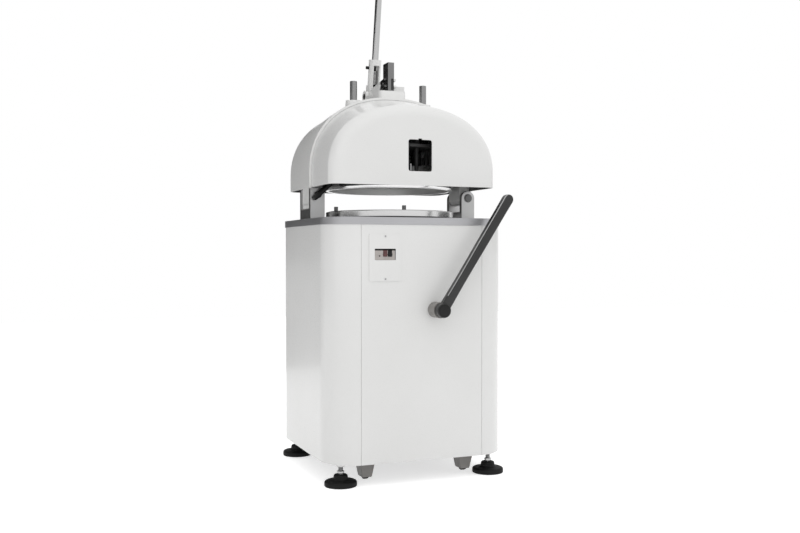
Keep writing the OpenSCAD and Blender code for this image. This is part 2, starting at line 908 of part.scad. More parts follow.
module motor_mount() {
    motor_top = pulley_z - mount_t - pulley_t / 2;
    half = foot_x - post_w / 2 - fit;
    color("dimgray") difference() {
        translate([-half, foot_y + post_w / 2 - mount_depth, motor_top])
            cube([2 * half, mount_depth, mount_t]);
        translate([0, motor_y, motor_top - overrun])
            cylinder(d = motor_shaft_d + 2 * wide_gap, h = mount_t + 2 * overrun);
    }
}

module pulley(d, bore) {
    difference() {
        rotate_extrude() polygon([[0, -pulley_t / 2 + wide_gap], [d / 2, -pulley_t / 2 + wide_gap],
            [d / 2, -groove_h / 2 - gap], [d / 2 - belt_w, -groove_h / 2 - gap],
            [d / 2 - belt_w, groove_h / 2 + gap], [d / 2, groove_h / 2 + gap],
            [d / 2, pulley_t / 2], [0, pulley_t / 2]]);
        translate([0, 0, -pulley_t]) cylinder(d = bore, h = 2 * pulley_t);
    }
}

module motor_pulley() {
    color("silver") translate([0, motor_y, 0]) {
        translate([0, 0, pulley_z]) pulley(motor_pulley_d, motor_shaft_d + 2 * fit);
        translate([0, 0, pulley_z - mount_t - pulley_t / 2 + gap])
            cylinder(d = motor_shaft_d, h = mount_t + pulley_t - gap);
    }
}

module drive_pulley() {
    color("silver") translate([0, 0, pulley_z]) pulley(drive_pulley_d, shaft_d + 2 * fit);
}

// The outline of a belt round both pulleys: an arc on each, joined by their outer tangents
function belt_arc(r, y, from_turn, to_turn) =
    [for (i = [0:belt_steps])
        let (turn = from_turn + (to_turn - from_turn) * i / belt_steps)
        [r * sin(turn), y + r * cos(turn)]];

module belt_outline(grow) {
    big = drive_pulley_d / 2 - belt_w + grow;
    small = motor_pulley_d / 2 - belt_w + grow;
    turn = acos((big - small) / motor_y);
    polygon(concat(belt_arc(small, motor_y, -turn, turn), belt_arc(big, 0, turn, 360 - turn)));
}

module v_belt() {
    color("black") translate([0, 0, pulley_z - belt_h / 2]) linear_extrude(belt_h) difference() {
        belt_outline(belt_w - wide_gap);
        belt_outline(gap);
    }
}

module drive_shaft() {
    shaft_low = pulley_z - pulley_t;
    color("silver") {
        translate([0, 0, shaft_low]) cylinder(d = shaft_d, h = bridge_top - shaft_low);
        translate([-square_w / 2, -square_w / 2, bridge_top - fit])
            cube([square_w, square_w, square_top - bridge_top]);
    }
}

module bearing_housing() {
    low = bridge_top - bridge_t;
    color("gray") difference() {
        union() {
            translate([-bridge_x, bridge_front_y, low])
                cube([2 * bridge_x, bridge_rear_y - bridge_front_y, bridge_t]);
            translate([0, 0, bridge_top - housing_h]) cylinder(d = housing_d, h = housing_h);
            both_sides(standoff_x) for (y = [standoff_front_y, standoff_rear_y])
                translate([0, y, low]) cylinder(d = standoff_d, h = plate_bottom - low);
            translate([lever_x, cam_y, low - guide_boss_h]) cylinder(d = guide_boss_d, h = guide_boss_h);
        }
        translate([0, 0, bridge_top - housing_h - overrun])
            cylinder(d = bearing_d + 2 * fit, h = housing_h + 2 * overrun);
        translate([lever_x, cam_y, low - guide_boss_h - overrun])
            cylinder(d = yoke_rod_d + 2 * run, h = guide_boss_h + bridge_t + 2 * overrun);
    }
}

module shaft_bearings() {
    low = bridge_top - housing_h + bearing_inset;
    high = bridge_top - bearing_t - bearing_inset;
    color("silver") for (z = [low, high])
        translate([0, 0, z]) difference() {
            cylinder(d = bearing_d, h = bearing_t);
            translate([0, 0, -overrun]) cylinder(d = shaft_d + 2 * run, h = bearing_t + 2 * overrun);
        }
}

module lift_yoke() {
    reach = norm([lever_x, cam_y]);
    color("gray") difference() {
        union() {
            translate([0, 0, yoke_z]) cylinder(d = yoke_ring_d, h = yoke_t);
            translate([0, 0, yoke_z]) rotate([0, 0, atan2(cam_y, lever_x)])
                translate([0, -yoke_arm_w / 2, 0]) cube([reach, yoke_arm_w, yoke_t]);
            translate([lever_x, cam_y, yoke_z]) cylinder(d = yoke_arm_w, h = yoke_t);
            translate([lever_x, cam_y, yoke_tip_z])
                cylinder(d = yoke_rod_d, h = yoke_z + yoke_t - yoke_tip_z);
            translate([lever_x, cam_y, yoke_tip_z]) sphere(d = yoke_rod_d);
        }
        translate([0, 0, yoke_z - overrun])
            cylinder(d = crank_hub_d + 2 * wide_gap, h = yoke_t + 2 * overrun);
    }
}

module crank_head() {
    color("darkgray") difference() {
        union() {
            translate([0, 0, crank_bottom]) cylinder(d = crank_d, h = crank_t);
            translate([0, 0, crank_bottom - crank_hub_h]) cylinder(d = crank_hub_d, h = crank_hub_h);
            translate([0, -orbit_r, crank_top - fit])
                cylinder(d = crank_shoulder_d, h = table_bottom - gap - crank_top + fit);
            translate([0, -orbit_r, crank_top])
                cylinder(d = crank_pin_d, h = table_top - table_skin - gap - crank_top);
        }
        translate([-square_w / 2 - gap, -square_w / 2 - gap, crank_bottom - crank_hub_h - overrun])
            cube([square_w + 2 * gap, square_w + 2 * gap, crank_hub_h + crank_t / 2 + overrun]);
    }
}

module idler_crank() {
    disc_z = plate_top - idler_pocket_h + wide_gap;
    color("darkgray") {
        translate([0, 0, disc_z]) cylinder(d = idler_d, h = idler_t);
        translate([0, -orbit_r, disc_z])
            cylinder(d = idler_pin_d, h = table_top - table_skin - gap - disc_z);
        translate([0, 0, disc_z - idler_shaft_len]) cylinder(d = idler_shaft_d, h = idler_shaft_len);
    }
}

module left_idler_crank() {
    translate([-idler_x, 0, 0]) idler_crank();
}

module right_idler_crank() {
    translate([idler_x, 0, 0]) idler_crank();
}

module rounding_table() {
    bore_h = table_t - table_skin + overrun;
    color("silver") translate([0, -orbit_r, table_bottom]) difference() {
        cylinder(d = table_d, h = table_t);
        translate([0, 0, -overrun]) cylinder(d = crank_pin_d + 2 * run, h = bore_h);
        both_sides(idler_x) translate([0, 0, -overrun]) cylinder(d = idler_pin_d + 2 * run, h = bore_h);
        translate([0, 0, table_t - table_lip_h]) difference() {
            cylinder(d = table_d + overrun, h = table_lip_h + overrun);
            translate([0, 0, -overrun])
                cylinder(d = table_d - 2 * table_lip_w, h = table_lip_h + 3 * overrun);
        }
    }
}

module table_pegs() {
    peg_r = table_d / 2 - table_lip_w - peg_inset;
    color("gray") translate([0, -orbit_r, table_top]) for (turn = peg_angles)
        translate([peg_r * cos(turn), peg_r * sin(turn), 0]) cylinder(d = peg_d, h = peg_h);
}

// Head hinge
module fork_cheeks() {
    for (side = [-1, 1]) scale([1, side, 1]) upright(cheek_in, cheek_out) children();
}

module fork_foot() {
    translate([-fork_w / 2, -cheek_in, plate_top]) cube([fork_w, 2 * cheek_in, fork_foot_h]);
}

module right_fork() {
    color("silver") translate([pin_x, 0, 0]) difference() {
        union() {
            fork_cheeks() {
                translate([-fork_w / 2, plate_top]) square([fork_w, pin_h]);
                translate([0, pin_z]) circle(d = fork_w);
            }
            fork_foot();
        }
        translate([0, 0, pin_z]) bar_y(pin_d + 2 * fit, -cheek_out - overrun, cheek_out + overrun);
    }
}

module left_fork() {
    color("silver") translate([-pin_x, 0, 0]) difference() {
        union() {
            fork_cheeks() translate([-fork_w / 2, plate_top]) square([fork_w, left_fork_top - plate_top]);
            fork_foot();
        }
        translate([0, 0, pin_z]) bar_y(stud_d + 2 * run, -cheek_out - overrun, cheek_out + overrun);
    }
}

module hinge_pin() {
    color("dimgray") translate([pin_x, 0, pin_z]) {
        bar_y(pin_d, -cheek_out - pin_end, cheek_out + pin_end);
        for (y = [-cheek_out - clip_t, cheek_out]) bar_y(clip_d, y, y + clip_t);
    }
}

module clamp_handle() {
    front = -cheek_out - gap;
    color("black") translate([-pin_x, 0, pin_z]) {
        bar_y(stud_d, front - clamp_hub_t / 2, cheek_out + stud_end);
        bar_y(clamp_hub_d, front - clamp_hub_t, front);
        rotate([0, -clamp_angle, 0]) upright(front - clamp_hub_t, front - clamp_hub_t + clamp_arm_t) {
            translate([0, -clamp_arm_w / 2]) square([clamp_len - clamp_arm_w / 2, clamp_arm_w]);
            translate([clamp_len - clamp_arm_w / 2, 0]) circle(d = clamp_arm_w);
        }
    }
}

// Head
module arch_body() {
    upright(-arch_edge, arch_edge) {
        translate([0, head_bottom]) difference() {
            polygon(dome(arch_half, head_side_h, head_rise + arch_proud, 0));
            polygon(dome(arch_half - arch_t, head_side_h, head_rise + arch_proud - arch_t, overrun));
        }
        translate([pin_x, pin_z]) circle(r = lug_r);
        translate([pin_x - lug_r, pin_z]) square([arch_half - pin_x + lug_r, lug_top - pin_z]);
        translate([-arch_half, pin_z - left_lug_drop])
            square([arch_half - pin_x + left_lug_half, lug_top - pin_z + left_lug_drop]);
    }
    translate([0, 0, boss_foot]) linear_extrude(boss_top - boss_foot)
        rounded_rect(2 * boss_half, arch_d, boss_r);
    translate([lump_x0, lump_y0, boss_foot]) cube([lump_w, arch_edge - lump_y0, lump_top - boss_foot]);
    both_sides(rod_x) translate([0, 0, rod_boss_foot])
        cylinder(d1 = rod_boss_low_d, d2 = rod_boss_d, h = rod_boss_top - rod_boss_foot);
    both_sides(spring_x) translate([0, 0, spring_boss_bottom])
        cylinder(d = spring_boss_d, h = roof_z(spring_x) + arch_t / 2 - spring_boss_bottom);
}

module arch() {
    column_hole = [column_w + 2 * gap, column_d + 2 * gap];
    stud_r = stud_d / 2 + gap;
    color("whitesmoke") difference() {
        arch_body();
        translate([pin_x, 0, pin_z]) bar_y(pin_d + 2 * run, -arch_edge - overrun, arch_edge + overrun);
        translate([-pin_x, 0, pin_z]) {
            bar_y(2 * stud_r, -arch_edge - overrun, arch_edge + overrun);
            upright(-arch_edge - overrun, arch_edge + overrun) polygon([[-stud_r, 0],
                [-stud_r - slot_flare, -left_lug_drop - overrun],
                [stud_r + slot_flare, -left_lug_drop - overrun], [stud_r, 0]]);
        }
        translate([-column_hole[0] / 2, -column_hole[1] / 2, boss_foot - overrun])
            cube([column_hole[0], column_hole[1], boss_top - boss_foot + 2 * overrun]);
        translate([-ear_in, arm_tip_y, arm_slot_low])
            cube([2 * ear_in, arch_edge - arm_tip_y + overrun, lump_top - arm_slot_low]);
        both_sides(rod_x) translate([0, 0, rod_boss_foot - overrun])
            cylinder(d = bush_d + 2 * fit, h = rod_boss_top - rod_boss_foot + 2 * overrun);
    }
}

// A shell is a rounded dome that falls away from the arch, hollow, open below and towards the arch
module dome_block(shrink, drop, y_in, fall) {
    half = head_w / 2 - shrink;
    rise = head_rise - shrink;
    depth = head_d / 2 - shrink;
    hull() {
        translate([0, 0, head_bottom]) upright(-y_in, -y_in + slice_t)
            polygon(dome(half, head_side_h, rise, drop));
        for (i = [0:edge_steps])
            let (turn = 90 * i / edge_steps, inset = edge_r * (1 - cos(turn)))
            let (y = depth - edge_r * (1 - sin(turn)))
            translate([0, 0, head_bottom]) upright(-y, -y + slice_t)
                polygon(dome(half - inset, head_side_h, rise - fall - inset, drop));
    }
}

module shell(fall) {
    difference() {
        dome_block(0, 0, shell_edge + slice_t, fall);
        dome_block(shell_t, overrun, shell_edge - overrun, fall);
    }
}

module front_shell() {
    window_mid_z = head_bottom + window_rise + window_h / 2;
    color("whitesmoke") difference() {
        shell(front_fall);
        translate([window_x, 0, window_mid_z]) upright(-head_d, -head_d / 2 + edge_r) {
            rounded_rect(window_w, window_h, window_r);
            translate([-window_bump_w / 2, window_h / 2 - overrun])
                square([window_bump_w, window_bump_h + overrun]);
        }
    }
}

// The fork arms dip through a slot in the rear shell at the end of their stroke
module rear_shell() {
    color("whitesmoke") difference() {
        mirror([0, 1, 0]) shell(rear_fall);
        translate([-ear_in, arch_edge, arm_slot_low])
            cube([2 * ear_in, arm_slot_end - arch_edge, lump_top - arm_slot_low]);
    }
}

module rod_bushes() {
    color("peru") both_sides(rod_x) translate([0, 0, rod_boss_foot]) difference() {
        cylinder(d = bush_d, h = rod_boss_top - rod_boss_foot);
        translate([0, 0, -overrun])
            cylinder(d = rod_d + 2 * run, h = rod_boss_top - rod_boss_foot + 2 * overrun);
    }
}

module ear() {
    translate([ear_in, 0, 0]) rotate([90, 0, 90]) linear_extrude(ear_t) {
        translate([pivot_y, pivot_z]) circle(r = ear_r);
        polygon([[arch_edge, ear_low], [pivot_y - ear_r, ear_low], [pivot_y + ear_r, pivot_z - ear_r],
            [pivot_y + ear_r, pivot_z], [pivot_y - ear_r, pivot_z], [arch_edge, boss_top]]);
    }
    translate([ear_in, arch_edge, ear_low]) cube([ear_flange_w, ear_flange_t, boss_top - ear_low]);
}

module lever_bracket() {
    color("whitesmoke") difference() {
        for (side = [-1, 1]) scale([side, 1, 1]) ear();
        translate([0, pivot_y, pivot_z])
            bar_x(pivot_d + 2 * fit, -ear_in - ear_t - overrun, ear_in + ear_t + overrun);
    }
}

module lever_pivot_pin() {
    color("dimgray") translate([0, pivot_y, pivot_z])
        bar_x(pivot_d, -ear_in - ear_t - wide_gap, ear_in + ear_t + wide_gap);
}

// Press and knives
module lattice(grow, reach) {
    blade = blade_t + 2 * grow;
    starts = [0, knife_ring_1, knife_ring_2];
    ends = [knife_ring_1, knife_ring_2, reach];
    for (r = [knife_ring_1, knife_ring_2]) difference() {
        circle(r + blade / 2);
        circle(r - blade / 2);
    }
    for (row = [0:2], i = [0:cell_counts[row] - 1])
        rotate(360 * i / cell_counts[row]) translate([starts[row], -blade / 2])
            square([ends[row] - starts[row], blade]);
}

module press_ring() {
    color("silver") translate([0, 0, ring_bottom]) difference() {
        cylinder(r = ring_r, h = ring_h);
        translate([0, 0, -overrun]) cylinder(r = ring_in, h = ring_h + 2 * overrun);
    }
}

module carrier_plate() {
    ring_top = ring_bottom + ring_h;
    color("silver") {
        translate([0, 0, carrier_z]) difference() {
            cylinder(r = ring_r, h = carrier_t);
            four_corners(post_place, post_place) translate([0, 0, -overrun])
                cylinder(d = post_d + 2 * wide_gap, h = carrier_t + 2 * overrun);
        }
        for (i = [0:pillar_count - 1]) rotate(pillar_turn + 360 * i / pillar_count)
            translate([ring_r - ring_t / 2, 0, ring_top])
                cylinder(d = pillar_d, h = carrier_z - ring_top + fit);
    }
}

module press_segments() {
    stem_rows = [knife_ring_1 * inner_stem_share, (knife_ring_1 + knife_ring_2) / 2,
        (knife_ring_2 + segment_r) / 2];
    color("whitesmoke") {
        translate([0, 0, segment_z]) linear_extrude(segment_t) difference() {
            circle(segment_r);
            lattice(slot_clear, segment_r + overrun);
        }
        for (row = [0:2], i = [0:cell_counts[row] - 1])
            rotate(360 * (i + 0.5) / cell_counts[row])
                translate([stem_rows[row], 0, segment_z + segment_t - fit])
                cylinder(r = stem_r, h = carrier_z - segment_z - segment_t + fit);
    }
}

module guide_rods() {
    color("silver") both_sides(rod_x) translate([0, 0, carrier_top]) {
        cylinder(d = rod_d, h = head_bottom + rod_top_h - carrier_top);
        cylinder(d = rod_foot_d, h = rod_foot_h);
    }
}

module return_springs() {
    color("silver") both_sides(spring_x) translate([0, 0, carrier_top])
        coil_spring(return_coil_d, spring_wire_d, spring_boss_bottom - carrier_top, return_turns);
}

module press_column() {
    color("silver") {
        difference() {
            translate([-column_w / 2, -column_d / 2, crosshead_top])
                cube([column_w, column_d, column_top - crosshead_top]);
            translate([0, -column_d / 2 - overrun, column_flat_low])
                cube([column_w, column_flat_depth + overrun, column_flat_h]);
        }
        translate([0, column_pin_y, pivot_z + arm_reach * tan(arm_angle)])
            bar_x(column_pin_d, -column_pin_half, column_pin_half);
    }
}

module crosshead() {
    color("gray") {
        translate([-crosshead_half, -crosshead_half, crosshead_z])
            cube([2 * crosshead_half, 2 * crosshead_half, crosshead_t]);
        four_corners(post_place, post_place) translate([0, 0, knife_z + blade_h])
            cylinder(d = post_d, h = crosshead_z + crosshead_t - knife_z - blade_h);
    }
}

module knife_lattice() {
    color("lightgray") translate([0, 0, knife_z]) linear_extrude(blade_h) lattice(0, knife_r);
}

// Press lever: along the tube, heights count from the pivot
module along_lever() {
    translate([0, pivot_y, pivot_z]) rotate([lever_lean, 0, 0]) children();
}

module press_lever() {
    color("whitesmoke") difference() {
        union() {
            along_lever() {
                translate([0, 0, slot_low - overrun])
                    cylinder(d = tube_d, h = tube_len - slot_low + overrun);
                translate([-lever_half, -web_w / 2, 0]) cube([tube_d, web_w, web_top]);
                bar_x(lever_hub_d, -lever_half, lever_half);
            }
            translate([0, pivot_y, pivot_z]) rotate([-arm_angle, 0, 0])
                for (side = [-1, 1]) scale([side, 1, 1])
                translate([arm_in, -arm_len, -arm_half_h])
                cube([arm_out - arm_in, arm_len, 2 * arm_half_h]);
        }
        translate([0, pivot_y, pivot_z]) {
            bar_x(pivot_d + 2 * run, -lever_half - overrun, lever_half + overrun);
            rotate([-arm_angle, 0, 0]) {
                translate([-lever_half - overrun, -arm_reach / cos(arm_angle), 0]) rotate([0, 90, 0])
                    cylinder(d = column_pin_d + 2 * pin_slack, h = tube_d + 2 * overrun);
                translate([-lever_half - overrun, -arm_len - overrun, -column_pin_d / 2 - pin_slack])
                    cube([tube_d + 2 * overrun, arm_len + overrun - arm_reach / cos(arm_angle),
                        column_pin_d + 2 * pin_slack]);
            }
        }
        along_lever() {
            translate([-slot_w / 2, -tube_d, slot_low]) cube([slot_w, tube_d, slot_high - slot_low]);
            translate([0, 0, slot_low]) cylinder(d = spring_bore_d, h = spring_seat - slot_low);
            cylinder(d = plunger_d + 2 * gap, h = bar_seat);
            translate([-tube_d, -knob_pin_d / 2 - knob_slot_clear,
                    knob_z - knob_pin_d / 2 - knob_slot_clear])
                cube([tube_d, knob_pin_d + 2 * knob_slot_clear,
                    knob_pin_d + latch_travel + 2 * knob_slot_clear]);
            translate([0, 0, bar_seat]) cylinder(d = bar_d + 2 * fit, h = tube_len);
        }
    }
}

module lever_rod() {
    color("silver") along_lever() translate([0, 0, bar_seat])
        cylinder(d = bar_d, h = handle_len - bar_seat - grip_d / 2);
}

module lever_grip() {
    color("black") along_lever() difference() {
        union() {
            translate([0, 0, handle_len - grip_len]) cylinder(d = grip_d, h = grip_len - grip_d / 2);
            translate([0, 0, handle_len - grip_d / 2]) sphere(d = grip_d);
        }
        translate([0, 0, handle_len - grip_len - overrun])
            cylinder(d = bar_d + 2 * fit, h = grip_len + overrun - grip_d / 2);
    }
}

module latch_plunger() {
    nose = pivot_d / 2 + gap;
    color("black") along_lever() {
        translate([0, 0, nose]) cylinder(d = plunger_d, h = plunger_top - nose);
        translate([0, 0, collar_low]) cylinder(d = latch_collar_d, h = collar_h);
        translate([0, 0, knob_z]) {
            bar_x(knob_pin_d, -lever_half - knob_t, 0);
            bar_x(knob_d, -lever_half - knob_t, -lever_half - wide_gap);
        }
    }
}

module latch_spring() {
    low = collar_low + collar_h;
    color("silver") along_lever() translate([0, 0, low])
        coil_spring(latch_coil_d, spring_wire_d, spring_seat - low, latch_turns);
}

echo(return_spring_gap = coil_gap(coil_path(return_coil_d, spring_wire_d,
    spring_boss_bottom - carrier_top, return_turns), spring_wire_d));
echo(latch_spring_gap = coil_gap(coil_path(latch_coil_d, spring_wire_d,
    spring_seat - collar_low - collar_h, latch_turns), spring_wire_d));

bottom_plate();
corner_posts();
left_side_panel();
right_side_panel();
front_panel();
rear_panel();
panel_screws();
cable_gland();
top_plate();
foot_pads();
foot_stems();
caster_housings();
front_left_wheel();
front_right_wheel();
rear_left_wheel();
rear_right_wheel();
switch_plate();
switch_body();
start_button();
stop_button();
lever_bush();
lever_shaft();
front_lever();
lift_yoke();
motor();
motor_mount();
motor_pulley();
v_belt();
drive_pulley();
drive_shaft();
bearing_housing();
shaft_bearings();
crank_head();
left_idler_crank();
right_idler_crank();
rounding_table();
table_pegs();
left_fork();
right_fork();
hinge_pin();
clamp_handle();
arch();
front_shell();
rear_shell();
rod_bushes();
lever_bracket();
lever_pivot_pin();
press_ring();
carrier_plate();
press_segments();
guide_rods();
return_springs();
press_column();
crosshead();
knife_lattice();
press_lever();
lever_rod();
lever_grip();
latch_plunger();
latch_spring();
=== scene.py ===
# %% [markdown]
# # A divider rounder for a bakery
# The machine presses a slab of dough, cuts it into equal pieces and rolls them into balls.
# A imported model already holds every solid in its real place, so this lesson only dresses it:
# each step makes one finish or one piece, sets it where the solid is, and lets it ride on
# the body that carries it.

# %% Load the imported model
import json
import math

import bpy
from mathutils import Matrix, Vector


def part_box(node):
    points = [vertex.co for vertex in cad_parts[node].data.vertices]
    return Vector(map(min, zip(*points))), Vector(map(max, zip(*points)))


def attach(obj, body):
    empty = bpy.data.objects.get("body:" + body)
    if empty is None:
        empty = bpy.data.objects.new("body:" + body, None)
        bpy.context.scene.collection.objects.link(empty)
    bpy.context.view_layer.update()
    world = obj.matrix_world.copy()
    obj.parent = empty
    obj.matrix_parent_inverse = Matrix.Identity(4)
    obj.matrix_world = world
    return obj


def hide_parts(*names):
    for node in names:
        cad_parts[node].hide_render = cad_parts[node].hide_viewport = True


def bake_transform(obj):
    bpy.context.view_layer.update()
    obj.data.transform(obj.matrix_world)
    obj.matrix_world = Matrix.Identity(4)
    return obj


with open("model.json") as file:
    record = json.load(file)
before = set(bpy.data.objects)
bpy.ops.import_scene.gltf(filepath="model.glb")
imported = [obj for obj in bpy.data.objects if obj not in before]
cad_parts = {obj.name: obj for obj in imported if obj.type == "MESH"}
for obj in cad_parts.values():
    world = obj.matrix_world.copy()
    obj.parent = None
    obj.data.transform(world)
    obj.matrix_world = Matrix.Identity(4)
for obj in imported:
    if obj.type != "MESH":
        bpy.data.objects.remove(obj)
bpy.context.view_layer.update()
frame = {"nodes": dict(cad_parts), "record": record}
nodes = frame["nodes"]
scene = bpy.context.scene
body_of = {}
for body, members in frame["record"]["behaviour"]["bodies"].items():
    for node in members:
        body_of[node] = body
slot_of = {entry["node"]: entry["material_slot"] for entry in frame["record"]["subparts"]}

# %% [markdown]
# ## The camera
# The picture was taken from the front left, at the height of the switch, with a lens a little
# longer than normal. The place and the angles came from setting corners of the solids over
# the same corners in the picture.

# %% Set the camera
camera_place = (-1.2717, -3.3031, 0.7802)
camera_turn = (89.181, 0.0, -21.74)
camera_lens = 42.98

camera = bpy.data.objects.new("camera", bpy.data.cameras.new("camera"))
camera.location = camera_place
camera.rotation_euler = [math.radians(angle) for angle in camera_turn]
camera.data.lens = camera_lens
scene.collection.objects.link(camera)
scene.camera = camera
scene.view_settings.view_transform = "Standard"
print("camera at", camera_place)

# %% [markdown]
# ## Helpers for picking things
# Blender's operators work on whatever is selected, and loading leaves every solid selected.
# So each step first lets go of everything and takes up one piece. Modifiers are applied as
# soon as they are added, so that the finished mesh holds its whole shape.


# %% Pick a piece, or some of its edges or faces
def clear_selection():
    """Let go of every object and go back to picking points."""
    if bpy.context.object and bpy.context.object.mode != "OBJECT":
        bpy.ops.object.mode_set(mode="OBJECT")
    bpy.ops.object.select_all(action="DESELECT")
    scene.tool_settings.mesh_select_mode = (True, False, False)


def take(piece):
    """Select one piece alone and make it the active one."""
    clear_selection()
    piece.select_set(True)
    bpy.context.view_layer.objects.active = piece
    return piece


def open_all(piece):
    """Open a piece for editing, with all of it selected."""
    take(piece)
    bpy.ops.object.mode_set(mode="EDIT")
    bpy.ops.mesh.select_all(action="SELECT")


def close_edit():
    """Go back from the points of a mesh to whole objects."""
    bpy.ops.object.mode_set(mode="OBJECT")


def pick(piece, kind, wanted):
    """Open a piece for editing, with only the edges or the faces that are wanted selected."""
    take(piece)
    mesh = piece.data
    for items in (mesh.vertices, mesh.edges, mesh.polygons):
        for item in items:
            item.select = False
    for item in mesh.edges if kind == "EDGE" else mesh.polygons:
        item.select = wanted(item)
    scene.tool_settings.mesh_select_mode = (False, kind == "EDGE", kind == "FACE")
    bpy.ops.object.mode_set(mode="EDIT")


def ends_of(piece, edge):
    """The two end points of an edge."""
    return [piece.data.vertices[index].co for index in edge.vertices]


def along_axis(piece, axis, length):
    """A test for the edges that run along an axis for more than a length."""
    return lambda edge: abs(ends_of(piece, edge)[0][axis] - ends_of(piece, edge)[1][axis]) > length


print("picking helpers ready")


# %% Start a block, shape it with a modifier, or settle it
def block(name, size, place=(0, 0, 0)):
    """A plain block to start from, with its size and place in its mesh."""
    clear_selection()
    bpy.ops.mesh.primitive_cube_add(size=1, location=place)
    piece = bpy.context.object
    piece.name = name
    piece.scale = size
    bpy.ops.object.transform_apply(location=True, scale=True)
    return piece


def shape_with(piece, kind, **settings):
    """Add one modifier, set it and apply it."""
    take(piece)
    modifier = piece.modifiers.new(kind.lower(), kind)
    for name, value in settings.items():
        setattr(modifier, name, value)
    bpy.ops.object.modifier_apply(modifier=modifier.name)
    return piece


def settle(piece, lay=(0, 0, 0), middle=(0, 0, 0)):
    """Turn and move a piece, then put its place into its mesh."""
    take(piece)
    piece.rotation_euler = lay
    piece.location = middle
    bpy.ops.object.transform_apply(location=True, rotation=True, scale=True)
    return piece


print("shaping helpers ready for", len(slot_of), "nodes")

# %% [markdown]
# ## Floor and light
# A studio picture on white needs a floor that is white to the camera and still takes the
# shadow of the feet. A light floor with a little glow of its own, seen by the camera and in
# mirrors, does both. The world is dimmer as a lamp than as a backdrop, so the paint keeps its tone
# while metal still mirrors a white room.


# %% Tell which rays look at something
def counted(tree, operation, first, second):
    """A math node on an output and an output or a number."""
    node = tree.nodes.new("ShaderNodeMath")
    node.operation = operation
    tree.links.new(first, node.inputs[0])
    if isinstance(second, float):
        node.inputs[1].default_value = second
    else:
        tree.links.new(second, node.inputs[1])
    return node.outputs["Value"]


def looking_rays(tree):
    """One for rays from the camera, a mirror or glass, and none for the rays that only carry light."""
    rays = tree.nodes.new("ShaderNodeLightPath").outputs
    mirrored = counted(tree, "MAXIMUM", rays["Is Camera Ray"], rays["Is Glossy Ray"])
    return counted(tree, "MAXIMUM", mirrored, rays["Is Transmission Ray"])


print("ray helpers ready")

# %% Make the floor
floor_size = 16.0
floor_tone = 0.82
floor_glow = 0.62

clear_selection()
bpy.ops.mesh.primitive_plane_add(size=floor_size)
floor = bpy.context.object
floor.name = "studio_floor"
floor_finish = bpy.data.materials.new("studio_floor")
floor_finish.use_nodes = True
floor_tree = floor_finish.node_tree
floor_tree.nodes.clear()
floor_paper = floor_tree.nodes.new("ShaderNodeBsdfDiffuse")
floor_paper.inputs["Color"].default_value = (floor_tone, floor_tone, floor_tone, 1)
floor_light = floor_tree.nodes.new("ShaderNodeEmission")
floor_share = counted(floor_tree, "MULTIPLY", looking_rays(floor_tree), floor_glow)
floor_sum = floor_tree.nodes.new("ShaderNodeAddShader")
floor_out = floor_tree.nodes.new("ShaderNodeOutputMaterial")
floor_tree.links.new(floor_share, floor_light.inputs["Strength"])
floor_tree.links.new(floor_paper.outputs["BSDF"], floor_sum.inputs[0])
floor_tree.links.new(floor_light.outputs["Emission"], floor_sum.inputs[1])
floor_tree.links.new(floor_sum.outputs["Shader"], floor_out.inputs["Surface"])
floor.data.materials.append(floor_finish)
print("floor", floor_size, "m wide")

# %% Light the room
room_light = 0.93

world = bpy.data.worlds.new("studio")
scene.world = world
world.use_nodes = True
room = world.node_tree
room.nodes.clear()
lamp_side = room.nodes.new("ShaderNodeBackground")
lamp_side.inputs["Strength"].default_value = room_light
seen_side = room.nodes.new("ShaderNodeBackground")
for background in (lamp_side, seen_side):
    background.inputs["Color"].default_value = (1, 1, 1, 1)
choose = room.nodes.new("ShaderNodeMixShader")
room_out = room.nodes.new("ShaderNodeOutputWorld")
room.links.new(looking_rays(room), choose.inputs["Fac"])
room.links.new(lamp_side.outputs["Background"], choose.inputs[1])
room.links.new(seen_side.outputs["Background"], choose.inputs[2])
room.links.new(choose.outputs["Shader"], room_out.inputs["Surface"])
print("room light", room_light)

# %% [markdown]
# Two soft boxes light the machine: a broad one in front, which makes the front the brightest
# face, and one overhead for the crown of the head. A dark card on the left takes light from the
# left of the head, as black flags do in a studio. Other cards stand behind and at the sides, for
# the metal and the gloss of the paint to mirror. The camera sees none of them, and the lamps
# aren't mirrored.


# %% Hang the soft boxes
def soft_box(name, place, aim, size, power):
    """Hang a square lamp that faces a point."""
    lamp = bpy.data.lights.new(name, "AREA")
    lamp.shape = "SQUARE"
    lamp.size = size
    lamp.energy = power
    holder = bpy.data.objects.new(name, lamp)
    holder.location = place
    holder.rotation_euler = (Vector(aim) - Vector(place)).to_track_quat("-Z", "Y").to_euler()
    holder.visible_glossy = False
    scene.collection.objects.link(holder)
    print(name, power, "W")


soft_box("main_box", (0.2, -4.2, 1.1), (0.0, 0.0, 0.6), 3.6, 10)
soft_box("top_box", (-0.3, -1.4, 3.4), (0.0, 0.0, 1.0), 2.4, 6)


